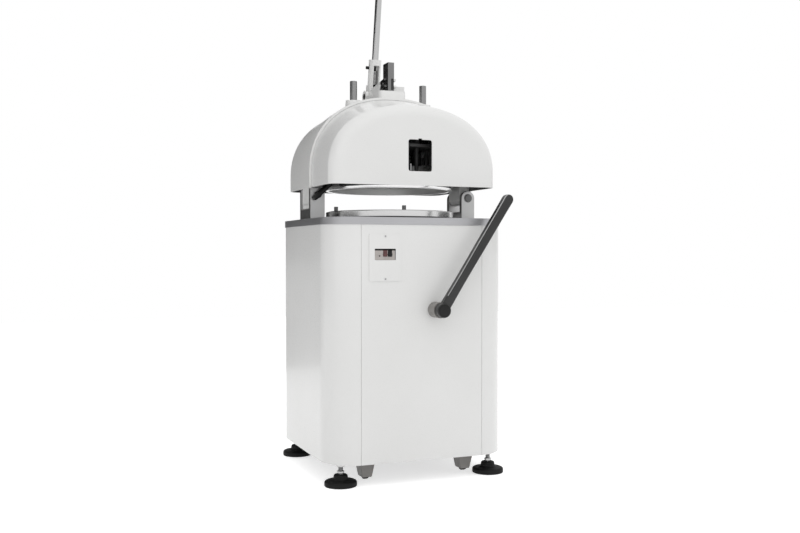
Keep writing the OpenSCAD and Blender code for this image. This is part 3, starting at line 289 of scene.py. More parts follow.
# %% Stand the dark cards
def dark_card(name, place, aim, width, height, shades, tone=0.02):
    """Stand a dark card that faces a point, either to shade the paint or to be mirrored in metal."""
    felt = bpy.data.materials.new(name + "_felt")
    felt.use_nodes = True
    felt.node_tree.nodes["Principled BSDF"].inputs["Base Color"].default_value = (tone, tone, tone, 1)
    felt.node_tree.nodes["Principled BSDF"].inputs["Roughness"].default_value = 0.9
    clear_selection()
    bpy.ops.mesh.primitive_plane_add(size=1)
    card = bpy.context.object
    card.name = name
    card.scale = (width, height, 1)
    card.location = place
    card.rotation_euler = (Vector(aim) - Vector(place)).to_track_quat("Z", "Y").to_euler()
    card.data.materials.append(felt)
    card.visible_camera = False
    card.visible_shadow = False
    card.visible_transmission = False
    card.visible_diffuse = shades
    card.visible_glossy = not shades
    print(name, "at", place)


dark_card("left_card", (-0.86, 0.35, 1.52), (-0.10, 0.10, 1.12), 1.05, 0.8, True)
dark_card("rear_card", (-1.60, 2.30, 1.72), (-1.60, 0.0, 1.72), 3.6, 2.0, False)
dark_card("low_rear_card", (-1.60, 2.30, 0.40), (-1.60, 0.0, 0.40), 3.6, 0.64, False, 0.42)
dark_card("low_left_card", (-2.40, 0.60, 0.84), (0.0, 0.60, 0.84), 2.6, 0.56, False)
dark_card("high_left_card", (-2.30, 0.10, 2.35), (0.0, 0.10, 2.35), 3.4, 1.3, False)
dark_card("right_card", (2.60, 0.0, 1.00), (0.0, 0.0, 1.00), 1.8, 0.40, False)

# %% [markdown]
# ## Helpers for finishes
# A finish here is a principled shader fed by noise on the piece's own coordinates. Small helpers
# cover most of it: one makes the noise, stretched where a tool has left lines, two turn it into a
# range of roughness or of colour, and one turns it into fine relief.


# %% Small tools for finishes
def new_finish(name, metal=0.0, coat=0.0, coat_rough=0.1, shine=0.5):
    """Start a finish and return it with its tree, its shader and the piece's coordinates."""
    finish = bpy.data.materials.new(name)
    finish.use_nodes = True
    tree = finish.node_tree
    shader = tree.nodes["Principled BSDF"]
    shader.inputs["Metallic"].default_value = metal
    shader.inputs["Coat Weight"].default_value = coat
    shader.inputs["Coat Roughness"].default_value = coat_rough
    shader.inputs["Specular IOR Level"].default_value = shine
    place = tree.nodes.new("ShaderNodeTexCoord").outputs["Object"]
    return finish, tree, shader, place


def noise(tree, place, scale, stretch=(1, 1, 1), detail=3.0):
    """Noise of one size, finer along an axis with a larger stretch."""
    mapping = tree.nodes.new("ShaderNodeMapping")
    mapping.inputs["Scale"].default_value = stretch
    texture = tree.nodes.new("ShaderNodeTexNoise")
    texture.inputs["Scale"].default_value = scale
    texture.inputs["Detail"].default_value = detail
    tree.links.new(place, mapping.inputs["Vector"])
    tree.links.new(mapping.outputs["Vector"], texture.inputs["Vector"])
    return texture.outputs["Fac"]


def between(tree, value, low, high):
    """Spread the middle of a noise over a range of numbers."""
    node = tree.nodes.new("ShaderNodeMapRange")
    node.inputs["From Min"].default_value = 0.3
    node.inputs["From Max"].default_value = 0.7
    node.inputs["To Min"].default_value = low
    node.inputs["To Max"].default_value = high
    tree.links.new(value, node.inputs["Value"])
    return node.outputs["Result"]


def tinted(tree, value, dark, light):
    """Spread the middle of a noise over two colours."""
    ramp = tree.nodes.new("ShaderNodeValToRGB")
    for element, position, colour in zip(ramp.color_ramp.elements, (0.3, 0.7), (dark, light)):
        element.position = position
        element.color = (*colour, 1)
    tree.links.new(value, ramp.inputs["Fac"])
    return ramp.outputs["Color"]


def relief(tree, shader, value, depth):
    """Let a noise lift the surface by a depth in metres."""
    bump = tree.nodes.new("ShaderNodeBump")
    bump.inputs["Strength"].default_value = 1.0
    bump.inputs["Distance"].default_value = depth
    tree.links.new(value, bump.inputs["Height"])
    tree.links.new(bump.outputs["Normal"], shader.inputs["Normal"])


print("noise helpers ready")


# %% A finish without direction
def plain_finish(name, dark, light, rough, patch, grain, depth, metal=0.0, coat=0.0, shine=0.5):
    """A finish with slow patches of colour, uneven gloss and fine grain."""
    finish, tree, shader, place = new_finish(name, metal, coat, shine=shine)
    tree.links.new(tinted(tree, noise(tree, place, patch), dark, light), shader.inputs["Base Color"])
    grain_noise = noise(tree, place, grain)
    tree.links.new(between(tree, grain_noise, rough[0], rough[1]), shader.inputs["Roughness"])
    relief(tree, shader, grain_noise, depth)
    return finish


def grey(tone):
    """One tone for all three channels."""
    return (tone, tone, tone)


finishes = {}
print("finish helpers ready")

# %% [markdown]
# ## White powder coat
# The cabinet, the head and the lever hub are powder coated. Powder melts into a smooth gloss
# skin with a faint orange peel, a few millimetres from crest to crest. A flat white would look
# like plastic, so the tone drifts by a few hundredths over each panel and the gloss varies
# with the orange peel.

# %% White powder coat
coat_dark, coat_light = (0.775, 0.775, 0.765), (0.815, 0.815, 0.808)
finishes["white_paint"] = plain_finish(
    "white_powder_coat", coat_dark, coat_light, (0.26, 0.36), 2.5, 420, 0.00003, coat=0.2
)
# The inside of the shells is near black, which paints the shade within the head.
painted_shade_inside = plain_finish("shaded_inner_coat", grey(0.10), grey(0.13), (0.55, 0.7), 6, 500, 0.00004)
print("white powder coat ready")

# %% [markdown]
# ## Steels
# The plate on top of the cabinet is brushed along its width, so its noise is drawn out into
# long fine lines. The table and ring were turned on a lathe, which leaves rings about the
# middle: a wave texture in ring form, centred on the table by a Mapping node, gives those.
# The column and the rods are ground and drawn, so their lines run upwards and they are darker.


# %% Steel with lines or with rings
def brushed(name, dark, light, rough, stretch, depth=0.000012, grain=60):
    """Steel with fine lines along the axis that is stretched least."""
    finish, tree, shader, place = new_finish(name, metal=1.0)
    lines = noise(tree, place, grain, stretch, detail=6.0)
    clouds = noise(tree, place, 4)
    half_clouds = counted(tree, "MULTIPLY", clouds, 0.5)
    streaks = counted(tree, "ADD", counted(tree, "MULTIPLY", lines, 0.5), half_clouds)
    tree.links.new(tinted(tree, streaks, dark, light), shader.inputs["Base Color"])
    tree.links.new(between(tree, lines, rough[0], rough[1]), shader.inputs["Roughness"])
    relief(tree, shader, lines, depth)
    return finish


def turned_steel(name, dark, light, rough, middle, rings):
    """Steel with lathe rings round an upright axis."""
    finish, tree, shader, place = new_finish(name, metal=1.0)
    mapping = tree.nodes.new("ShaderNodeMapping")
    mapping.inputs["Location"].default_value = (-middle[0], -middle[1], 0)
    wave = tree.nodes.new("ShaderNodeTexWave")
    wave.wave_type = "RINGS"
    wave.rings_direction = "Z"
    wave.inputs["Scale"].default_value = rings
    wave.inputs["Distortion"].default_value = 0.6
    wave.inputs["Detail"].default_value = 2.0
    tree.links.new(place, mapping.inputs["Vector"])
    tree.links.new(mapping.outputs["Vector"], wave.inputs["Vector"])
    clouds = noise(tree, place, 5)
    tree.links.new(tinted(tree, clouds, dark, light), shader.inputs["Base Color"])
    tree.links.new(between(tree, wave.outputs["Fac"], rough[0], rough[1]), shader.inputs["Roughness"])
    relief(tree, shader, wave.outputs["Fac"], 0.000006)
    return finish


print("steel helpers ready")

# %% Mix the steels
finishes["brushed_steel"] = brushed(
    "brushed_plate", (0.40, 0.40, 0.415), (0.48, 0.48, 0.495), (0.40, 0.52), (1, 40, 40)
)
finishes["polished_steel"] = brushed("drawn_steel", grey(0.26), grey(0.32), (0.20, 0.32), (40, 40, 1))
column_steel = brushed("milled_column_steel", grey(0.19), grey(0.25), (0.24, 0.36), (40, 40, 1))
fork_steel = brushed("milled_fork_steel", grey(0.41), grey(0.47), (0.30, 0.42), (40, 40, 1))
rod_steel = brushed("polished_rod", grey(0.48), grey(0.54), (0.16, 0.22), (60, 60, 1), 0.000003)
peg_steel = plain_finish("dark_pin_steel", grey(0.10), grey(0.14), (0.3, 0.42), 40, 300, 0.00001, metal=1.0)
# A near-black alloy for the parts inside the head; the milled step of the column also takes it as painted
# shade.
dark_alloy_and_shade = plain_finish(
    "blackened_alloy_and_painted_shade", grey(0.035), grey(0.055), (0.5, 0.65), 20, 200, 0.00001, shine=0.3
)
# A light metal finish that paints the highlight along the upper edge of the front lever.
painted_highlight_steel = plain_finish("painted_highlight_steel", grey(0.40), grey(0.50), (0.28, 0.40), 30, 300, 0.00001, metal=1.0)
finishes["bright_steel"] = plain_finish(
    "turned_steel", grey(0.42), grey(0.52), (0.24, 0.38), 12, 260, 0.00001, metal=1.0
)
finishes["light_alloy"] = brushed("machined_alloy", grey(0.50), grey(0.60), (0.32, 0.46), (30, 1, 30))
table_steel = turned_steel("lathe_ringed_steel", grey(0.64), grey(0.72), (0.22, 0.34), (0.0, -0.012), 150)
ring_steel = turned_steel("ring_steel", grey(0.64), grey(0.74), (0.20, 0.32), (0.0, 0.0), 150)
spring_wire = plain_finish("spring_wire", grey(0.78), grey(0.88), (0.25, 0.4), 40, 500, 0.000008, metal=1.0)
print(len(finishes), "slot finishes so far")

# %% [markdown]
# ## Paints, rubber and plastics
# The front lever has a satin black coat with a fine grain, the feet are moulded rubber, and
# the small controls are moulded plastic. Each gets its own grain size: rubber is dull with
# coarse specks, moulded plastic has a fine even texture, and paint lies in between.

# %% Paints, rubber and plastics
finishes["frame_paint"] = plain_finish("frame_paint", grey(0.20), grey(0.26), (0.45, 0.6), 8, 300, 0.00003)
paint_dark, paint_light = (0.205, 0.195, 0.185), (0.245, 0.235, 0.225)
finishes["grey_paint"] = plain_finish(
    "satin_grey_paint", paint_dark, paint_light, (0.38, 0.5), 20, 350, 0.00003, coat=0.1
)
finishes["black_paint"] = plain_finish(
    "satin_black_coat", grey(0.016), grey(0.023), (0.30, 0.42), 14, 700, 0.00003, coat=0.08, shine=0.4
)
finishes["black_rubber"] = plain_finish(
    "moulded_rubber", grey(0.007), grey(0.011), (0.55, 0.75), 30, 900, 0.00006, shine=0.2
)
finishes["black_plastic"] = plain_finish(
    "grained_black_plastic", grey(0.007), grey(0.012), (0.36, 0.5), 25, 1100, 0.00004, shine=0.25
)
red_dark, red_light = (0.075, 0.018, 0.017), (0.10, 0.024, 0.022)
finishes["red_plastic"] = plain_finish(
    "red_button_plastic", red_dark, red_light, (0.25, 0.35), 60, 900, 0.00002, coat=0.3
)
finishes["grey_plastic"] = plain_finish(
    "grey_starter_plastic", (0.41, 0.38, 0.36), (0.46, 0.43, 0.41), (0.4, 0.55), 40, 900, 0.00003
)
finishes["white_plastic"] = plain_finish(
    "white_food_plastic", (0.72, 0.72, 0.68), (0.78, 0.78, 0.75), (0.42, 0.55), 15, 600, 0.00003
)
finishes["bronze"] = plain_finish(
    "bearing_bronze", (0.42, 0.27, 0.11), (0.50, 0.34, 0.16), (0.3, 0.42), 20, 300, 0.00001, metal=1.0
)
white_screw = plain_finish("white_screw_cap", grey(0.66), grey(0.72), (0.35, 0.45), 60, 900, 0.00001)
print(len(finishes), "slot finishes ready")

# %% [markdown]
# ## Helpers for pieces
# Every real edge is a little rounded, and that thin line of light is what makes a part look
# made rather than drawn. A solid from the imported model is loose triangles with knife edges,
# so a copy of it is merged, its flat faces are cleaned, and its sharp edges get a small bevel.


# %% Soften a copy of a solid
def softened(node, edge, steps=2, limit=35.0):
    """Copy a node's mesh and round its sharp edges."""
    piece = bpy.data.objects.new(node + "_finished", nodes[node].data.copy())
    scene.collection.objects.link(piece)
    piece.data.materials.clear()
    open_all(piece)
    bpy.ops.mesh.remove_doubles(threshold=0.00002)
    bpy.ops.mesh.customdata_custom_splitnormals_clear()
    bpy.ops.mesh.dissolve_limited(angle_limit=math.radians(0.4))
    close_edit()
    shape_with(piece, "BEVEL", width=edge, segments=steps, limit_method="ANGLE",
               angle_limit=math.radians(limit), miter_outer="MITER_ARC")
    return smoothed(piece)


def smoothed(piece, angle=32.0):
    """Shade a piece smooth, with flat faces kept flat."""
    take(piece)
    bpy.ops.object.shade_smooth_by_angle(angle=math.radians(angle))
    shape_with(piece, "WEIGHTED_NORMAL", keep_sharp=True)
    return piece


print("softening helpers ready")


# %% Finish a piece and hand it over
def hand_over(piece, node, finish=None, stands=True):
    """Give a piece its finish and let it ride where a node rides."""
    finish = finish or finishes[slot_of[node]]
    if not piece.data.materials:
        piece.data.materials.append(finish)
    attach(piece, body_of[node])
    if stands:
        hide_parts(node)
    return piece


def dress(node, edge, steps=2, finish=None):
    """Put a softened copy in the place of a node."""
    return hand_over(softened(node, edge, steps), node, finish)


def two_finishes(piece, first, second, takes_second):
    """Give a piece two finishes, the second on the faces that pass a test, and count those."""
    piece.data.materials.append(first)
    piece.data.materials.append(second)
    for face in piece.data.polygons:
        face.material_index = int(takes_second(face))
    return sum(face.material_index for face in piece.data.polygons)


def copied(piece, name):
    """Copy a modelled piece, with its own mesh."""
    twin = bpy.data.objects.new(name, piece.data.copy())
    scene.collection.objects.link(twin)
    return twin


print("piece helpers ready")

# %% [markdown]
# ## Turning on a lathe
# Feet, wheels, hubs and grips are all round. A circle is filled, then pushed along its axis and
# resized again and again, which draws the profile as a turner would. Each pair in a profile is
# a radius and a height.


# %% Turn a round piece
def turned(name, profile, middle=(0, 0, 0), lay=(0, 0, 0), sides=48):
    """Draw a round piece through pairs of radius and height."""
    clear_selection()
    radius, height = profile[0]
    bpy.ops.mesh.primitive_circle_add(
        vertices=sides, radius=radius, fill_type="NGON", location=(0, 0, height)
    )
    piece = bpy.context.object
    piece.name = name
    bpy.ops.object.transform_apply(location=True)
    open_all(piece)
    for (old_radius, old_height), (radius, height) in zip(profile, profile[1:]):
        bpy.ops.mesh.extrude_region_move(TRANSFORM_OT_translate={"value": (0, 0, height - old_height)})
        ratio = radius / old_radius
        bpy.ops.transform.resize(value=(ratio, ratio, 1), center_override=(0, 0, height))
    bpy.ops.mesh.select_all(action="SELECT")
    bpy.ops.mesh.normals_make_consistent(inside=False)
    close_edit()
    return settle(piece, lay, middle)


quarter = math.radians(90)
print("lathe ready")

# %% [markdown]
# ## Cabinet
# Two bent side panels wrap the corners, and flat panels close the front and back with a narrow
# seam. They are thin folded sheet, so their edges get only half a millimetre of rounding. The
# thick steel plate on top has a broken edge of one millimetre. A line of sealant fills each seam
# to just under the surface, so that flour can't get in, and the seam reads as a fine pale line.

# %% Panels and plate
for panel in ("left_side_panel", "right_side_panel", "front_panel", "rear_panel"):
    dress(panel, 0.0005)
dress("top_plate", 0.0012, 3)
dress("bottom_plate", 0.001)

panel_low, panel_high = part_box("front_panel")
seam_width, seam_depth, seal_depth = 0.0015, 0.0019, 0.0010
seal_share, seal_short = 0.96, 0.002
for end, face_y in (("front", panel_low.y + seam_depth), ("rear", -panel_low.y - seam_depth - seal_depth)):
    for side, word in ((-1, "left"), (1, "right")):
        seal_size = (seam_width * seal_share, seal_depth, panel_high.z - panel_low.z - seal_short)
        seam_x = side * (panel_high.x + seam_width / 2)
        seal_place = (seam_x, face_y + seal_depth / 2, (panel_low.z + panel_high.z) / 2)
        seal = block(f"{end}_{word}_seam_seal", seal_size, seal_place)
        hand_over(smoothed(seal), "front_panel", stands=False)
print("cabinet dressed, four seams sealed")

# %% [markdown]
# ## Feet
# Each foot is a broad rubber pad with a thick round edge and a short neck that holds the stem. The
# stem is threaded, with a collar below, and a lock nut and a washer above. The thread is a row of
# ridges two millimetres apart, which reads as a thread at this size. One foot is modelled and
# copied to the four corners.

# %% Foot pads
pad_profile = [
    (0.0505, 0.0000), (0.0538, 0.0008), (0.0550, 0.0030), (0.0550, 0.0125), (0.0545, 0.0148),
    (0.0530, 0.0168), (0.0505, 0.0183), (0.0460, 0.0194), (0.0330, 0.0206), (0.0282, 0.0218),
    (0.0256, 0.0240), (0.0246, 0.0270), (0.0240, 0.0330), (0.0230, 0.0368), (0.0208, 0.0388),
    (0.0168, 0.0396),
]
foot_x, foot_y = 0.275, 0.267
corner_names = {(-1, -1): "front_left", (1, -1): "front_right", (-1, 1): "rear_left", (1, 1): "rear_right"}


def at_corners(model, word, x, y, node):
    """Copy a model to the four corners, then take the model away."""
    for (side, end), corner in corner_names.items():
        piece = copied(model, corner + word)
        settle(piece, middle=(side * x, end * y, 0))
        hand_over(piece, node)
    bpy.data.objects.remove(model)


at_corners(smoothed(turned("pad_model", pad_profile, sides=64)), "_pad", foot_x, foot_y, "foot_pads")
print("four pads, each", round(2 * pad_profile[2][0] * 1000), "mm wide")

# %% Foot stems
stem_profile = [
    (0.0078, 0.0380), (0.0080, 0.0440), (0.0112, 0.0442), (0.0120, 0.0450), (0.0120, 0.0500),
    (0.0112, 0.0508), (0.0080, 0.0510),
]
thread_pitch = 0.002
for ridge in range(8):
    height = 0.0525 + ridge * thread_pitch
    stem_profile += [(0.0070, height), (0.0080, height + thread_pitch / 2)]
stem_profile += [(0.0078, 0.0780), (0.0180, 0.0782), (0.0186, 0.0790), (0.0186, 0.0828)]
stem_model = smoothed(turned("stem_model", stem_profile, sides=32), 25)
nut_r, nut_depth, nut_middle = 0.0155, 0.0098, (0, 0, 0.0700)
clear_selection()
bpy.ops.mesh.primitive_cylinder_add(vertices=6, radius=nut_r, depth=nut_depth, location=nut_middle)
nut_model = bpy.context.object
bpy.ops.object.transform_apply(location=True)
shape_with(nut_model, "BEVEL", width=0.0009, segments=2, limit_method="ANGLE")
smoothed(nut_model)
for model, word in ((stem_model, "_stem"), (nut_model, "_lock_nut")):
    at_corners(model, word, foot_x, foot_y, "foot_stems")
print("four stems with lock nuts")

# %% [markdown]
# ## Casters
# The machine rolls on small wheels when the feet are wound up. Each wheel sits in a cast cup that
# narrows downward from a dark mounting flange. The flange is a thin cube, and its lower face is
# inset and then pulled down through the sections of the cup. Insetting the last face and pushing it
# back up hollows the cup for the wheel, which turns on a pin and has a crowned tread.

# %% Caster cups
cup_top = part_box("caster_housings")[1].z
caster_x, caster_y = 0.183, 0.250
flange_size, flange_depth = 0.072, 0.005
cup_sections = [
    (0.060, 0.064, 0.0775), (0.052, 0.060, 0.0700), (0.035, 0.047, 0.0240), (0.032, 0.044, 0.0215),
]
flange_lip, cup_wall, cup_hollow = 0.003, 0.0015, 0.042
hollow_spread = (1.25, 1.18, 1)

flange_place = (0, 0, cup_top - flange_depth / 2)
cup_model = block("cup_model", (flange_size, flange_size, flange_depth), flange_place)
pick(cup_model, "FACE", lambda face: face.normal.z < -0.9)
bpy.ops.mesh.inset(thickness=flange_lip)
old_x = old_y = flange_size - 2 * flange_lip
old_z = cup_top - flange_depth
for size_x, size_y, z in cup_sections:
    bpy.ops.mesh.extrude_region_move(TRANSFORM_OT_translate={"value": (0, 0, z - old_z)})
    bpy.ops.transform.resize(value=(size_x / old_x, size_y / old_y, 1), center_override=(0, 0, z))
    old_x, old_y, old_z = size_x, size_y, z
bpy.ops.mesh.inset(thickness=cup_wall)
bpy.ops.mesh.extrude_region_move(TRANSFORM_OT_translate={"value": (0, 0, cup_hollow)})
bpy.ops.transform.resize(value=hollow_spread, center_override=(0, 0, old_z + cup_hollow))
close_edit()
shape_with(cup_model, "BEVEL", width=0.0050, segments=4, limit_method="ANGLE", angle_limit=math.radians(70))
smoothed(cup_model, 40)
flange_low = cup_top - 0.0068
grey_cup, black_flange = finishes["grey_paint"], finishes["black_paint"]
two_finishes(cup_model, grey_cup, black_flange, lambda face: face.center.z > flange_low)
print("caster cup with", len(cup_model.data.polygons), "faces")

# %% Caster axles, and copies to the corners
axle_profile = [(0.0036, -0.0160), (0.0040, -0.0156), (0.0040, 0.0156), (0.0036, 0.0160)]
axle_model = smoothed(turned("axle_model", axle_profile, (0, 0, 0.034), (0, quarter, 0), 24))
axle_model.data.materials.append(finishes["bright_steel"])
for model, word in ((cup_model, "_caster_cup"), (axle_model, "_caster_axle")):
    at_corners(model, word, caster_x, caster_y, "caster_housings")
print("four caster cups with axles")

# %% Caster wheels
wheel_profile = [
    (0.0098, -0.0110), (0.0112, -0.0107), (0.0120, -0.0098), (0.0120, -0.0082), (0.0165, -0.0078),
    (0.0172, -0.0088), (0.0196, -0.0090), (0.0212, -0.0080), (0.0220, -0.0055), (0.0220, 0.0055),
    (0.0212, 0.0080), (0.0196, 0.0090), (0.0172, 0.0088), (0.0165, 0.0078), (0.0120, 0.0082),
    (0.0120, 0.0098), (0.0112, 0.0107), (0.0098, 0.0110),
]
wheel_model = smoothed(turned("wheel_model", wheel_profile, lay=(0, quarter, 0)))
for name in corner_names.values():
    node = name + "_wheel"
    low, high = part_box(node)
    wheel = copied(wheel_model, node + "_finished")
    settle(wheel, middle=(low + high) / 2)
    hand_over(wheel, node)
bpy.data.objects.remove(wheel_model)
print("four wheels")

# %% [markdown]
# ## Screws
# A screw head is turned, then its top face is inset and pushed down for the driver. The walls of
# that recess take a dark finish, since light hardly reaches into it.

# %% Model a screw head
screw_profile = [(0.0045, 0.0), (0.0045, 0.0010), (0.0042, 0.0017), (0.0034, 0.0023), (0.0024, 0.0025)]
screw_r, screw_top = screw_profile[0][0], screw_profile[-1][1]
recess_rim, recess_depth = 0.0006, 0.0014
screw_model = turned("screw_model", screw_profile, sides=24)
pick(screw_model, "FACE", lambda face: face.center.z > screw_top - 0.00001)
bpy.ops.mesh.inset(thickness=recess_rim)
bpy.ops.mesh.extrude_region_move(TRANSFORM_OT_translate={"value": (0, 0, -recess_depth)})
close_edit()
smoothed(screw_model)
print("screw head", round(2 * screw_r * 1000), "mm wide")

# %% Set the screws
recess_reach, recess_top = 0.0019, 0.00245
switch_low, switch_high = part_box("switch_plate")
switch_x = (switch_low.x + switch_high.x) / 2
screw_inset = 0.007
rear_low, rear_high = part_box("panel_screws")
rear_step = (rear_high.z - rear_low.z - 2 * screw_r) / 3
panel_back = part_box("rear_panel")[1].y
screw_places = [
    ("plate_screw_low", (switch_x, switch_low.y, switch_low.z + screw_inset), quarter, white_screw),
    ("plate_screw_high", (switch_x, switch_low.y, switch_high.z - screw_inset), quarter, white_screw),
]
for row in range(4):
    for side, word in ((-1, "left"), (1, "right")):
        place = (side * (rear_high.x - screw_r), panel_back, rear_low.z + screw_r + row * rear_step)
        screw_places.append((f"rear_screw_{word}_{row}", place, -quarter, finishes["bright_steel"]))


def in_driver_recess(face):
    """Whether a face of a screw lies in the recess for the driver."""
    return math.hypot(face.center.x, face.center.y) < recess_reach and face.center.z < recess_top


for name, place, turn, finish in screw_places:
    screw = copied(screw_model, name)
    two_finishes(screw, finish, finishes["black_plastic"], in_driver_recess)
    settle(screw, (turn, 0, 0), place)
    hand_over(screw, "panel_screws")
bpy.data.objects.remove(screw_model)
print(len(screw_places), "screws")

# %% [markdown]
# ## Switch
# A raised white plate frames the motor starter. The starter itself is light grey with a red stop
# button, a black start button and a small lamp. The lamp is an extra piece on its face, and so are
# thin cubes with rounded edges that paint shade: a dark strip along the top and the right side for the
# shadow of the recess, and a strip above each button, in its colour, for the shade above the button.

# %% Switch plate, starter and buttons
dress("switch_plate", 0.0012, 3)
dress("switch_body", 0.0008, 2)
dress("stop_button", 0.0012, 3)
dress("start_button", 0.0012, 3)
starter_low, starter_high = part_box("switch_body")
lamp_profile = [(0.0024, 0.0), (0.0024, 0.0006), (0.0020, 0.0014), (0.0010, 0.0018)]
lamp_place = (starter_low.x + 0.017, starter_low.y, (starter_low.z + starter_high.z) / 2 - 0.005)
lamp = smoothed(turned("starter_lamp", lamp_profile, lamp_place, (quarter, 0, 0), 24))
lamp.data.materials.append(finishes["black_plastic"])
hand_over(lamp, "switch_body", stands=False)
print("switch dressed")

# %% Painted shade strips on the starter
stop_low, stop_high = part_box("stop_button")
start_low, start_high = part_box("start_button")
top_shade_height, side_shade_width = 0.0055, 0.0022
shade_depth = 0.0016
top = starter_high.z
# Each strip is painted shade: the top and side strips paint the shadow of the recess, the button strips the
# shade above each button.
painted_shades = [
    ("starter_gasket_top", starter_low.x, starter_high.x, top - top_shade_height, "black_plastic"),
    ("starter_gasket_side", starter_high.x - side_shade_width, starter_high.x, starter_low.z, "frame_paint"),
    ("stop_bezel", stop_low.x, stop_high.x, stop_low.z, "red_plastic"),
    ("start_bezel", start_low.x, start_high.x, start_low.z, "black_plastic"),
]
for name, left, right, bottom, finish in painted_shades:
    shade_place = ((left + right) / 2, starter_low.y, (bottom + top) / 2)
    shade_strip = block(name, (right - left, shade_depth, top - bottom), shade_place)
    shape_with(shade_strip, "BEVEL", width=0.0005, segments=2, limit_method="ANGLE")
    hand_over(smoothed(shade_strip), "switch_body", finishes[finish], stands=False)
print(len(painted_shades), "trims on the starter")

# %% [markdown]
# ## Front lever
# The lever that lifts the table is a flat black bar with a waist, a round end and a heavy hub. A thin
# slab gets its long edges rounded first. Its end face, now a rounded rectangle, is pulled out through
# the sections of the bar, and the last sections shrink to a round tip. The faces along the upper front
# edge take a light metal finish of their own, which paints the highlight that runs along that edge.

# %% Lever arm
hub_x, hub_z = 0.044, 0.587
arm_length = 0.466
arm_angle = math.radians(57)
arm_front, arm_back = -0.4008, -0.3762
arm_sections = [
    (-0.004, 0.0172, 1.0), (0.05, 0.0165, 1.0), (0.12, 0.0156, 1.0), (0.20, 0.0160, 1.0),
    (0.28, 0.0168, 1.0), (0.40, 0.0172, 1.0),
]
slab, arm_round = 0.001, 0.0045
highlight_from, highlight_facing = 0.08, 0.35
tip_r = 0.0180
for turn, depth_share in ((0, 1.0), (25, 0.99), (48, 0.95), (66, 0.88), (80, 0.78)):
    along_arm = arm_length - tip_r + tip_r * math.sin(math.radians(turn))
    arm_sections.append((along_arm, tip_r * math.cos(math.radians(turn)), depth_share))

slab_size = (slab, arm_back - arm_front, 2 * arm_sections[0][1])
arm = block("front_lever_arm", slab_size, (arm_sections[0][0] - slab / 2, 0, 0))
pick(arm, "EDGE", along_axis(arm, 0, slab / 2))
bpy.ops.mesh.bevel(offset=arm_round, segments=4, affect="EDGES")
pick(arm, "FACE", lambda face: face.normal.x > 0.9)
for (start, old_half, old_share), (end, half, share) in zip(arm_sections, arm_sections[1:]):
    bpy.ops.mesh.extrude_region_move(TRANSFORM_OT_translate={"value": (end - start, 0, 0)})
    bpy.ops.transform.resize(value=(1, share / old_share, half / old_half), center_override=(end, 0, 0))
close_edit()


def in_painted_highlight(face):
    """Whether a face lies on the upper front edge, where the highlight is painted."""
    on_edge = face.normal.y < -highlight_facing and face.normal.z > highlight_facing
    return on_edge and face.center.x > highlight_from


# The faces along the upper front edge take the light metal finish as a painted highlight.
highlight_count = two_finishes(arm, finishes["black_paint"], painted_highlight_steel, in_painted_highlight)
smoothed(arm)
settle(arm, (0, -arm_angle, 0), (hub_x, (arm_front + arm_back) / 2, hub_z))
hand_over(arm, "front_lever")
print("lever arm", arm_length, "m long, with", highlight_count, "faces with the painted highlight")

# %% Lever hub and bush
hub_profile = [
    (0.0225, 0.0), (0.0238, 0.0008), (0.0240, 0.002), (0.0243, 0.0262), (0.0240, 0.0285),
    (0.0230, 0.0298), (0.0212, 0.0302), (0.0205, 0.0295), (0.0200, 0.0295), (0.0196, 0.0305),
    (0.0176, 0.0311), (0.0040, 0.0314),
]
cap_r, cap_from = 0.0204, 0.02
hub_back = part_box("front_lever")[1].y


def is_cap(face):
    """Whether a face belongs to the cap in the front of the hub."""
    from_axis = math.hypot(face.center.x - hub_x, face.center.z - hub_z)
    return from_axis < cap_r and face.center.y < hub_back - cap_from


hub = smoothed(turned("front_lever_hub", hub_profile, (hub_x, hub_back, hub_z), (quarter, 0, 0), 64))
two_finishes(hub, finishes["black_paint"], finishes["black_plastic"], is_cap)
hand_over(hub, "front_lever")
dress("lever_bush", 0.0012, 3)
dress("lever_shaft", 0.0006)
print("hub", round(2 * hub_profile[2][0] * 1000), "mm wide")

# %% [markdown]
# ## Hinge forks, pin and clamp
# Two pairs of steel cheeks carry the head. The right pair holds the hinge pin, and the left pair
# takes the clamp that keeps the head shut. The milled cheeks get a small rounding. The clamp is a
# moulded handle across a stud with a collar, and all three are drawn as on a lathe.

# %% Forks and pin
dress("left_fork", 0.0010, finish=fork_steel)
dress("right_fork", 0.0010, finish=fork_steel)
dress("hinge_pin", 0.0010, finish=peg_steel)
print("hinge dressed")

# %% Clamp
pin_x, pin_z = 0.2935, 0.985
handle_out, collar_out, stud_out = 0.0108, 0.0118, 0.0128
handle_rise = 43
clamp_low, clamp_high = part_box("clamp_handle")
handle_profile = [
    (0.0030, -0.0235), (0.0064, -0.0222), (0.0086, -0.0195), (0.0094, -0.0150), (0.0093, 0.0050),
    (0.0098, 0.0330), (0.0102, 0.0500), (0.0098, 0.0570), (0.0084, 0.0620), (0.0058, 0.0643),
    (0.0030, 0.0650),
]
handle_lay = (0, math.radians(90 - handle_rise), 0)
stud_length = clamp_high.y - clamp_low.y - stud_out
stud_profile = [
    (0.0040, 0.0), (0.0052, 0.0010), (0.0056, 0.0022), (0.0056, 0.110), (0.0060, 0.1105),
    (0.0060, stud_length - 0.0022), (0.0056, stud_length),
]
collar_profile = [(0.0110, 0.0), (0.0122, 0.0006), (0.0127, 0.0018), (0.0127, 0.0092), (0.0120, 0.0100)]
backward = (-quarter, 0, 0)
handle_place = (-pin_x, clamp_low.y + handle_out, pin_z)
handle = turned("clamp_handle_bar", handle_profile, handle_place, handle_lay, 32)
stud = turned("clamp_stud", stud_profile, (-pin_x, clamp_low.y + stud_out, pin_z), backward, 32)
collar = turned("clamp_collar", collar_profile, (-pin_x, clamp_low.y + collar_out, pin_z), backward, 48)
for piece in (handle, stud, collar):
    hand_over(smoothed(piece), "clamp_handle")
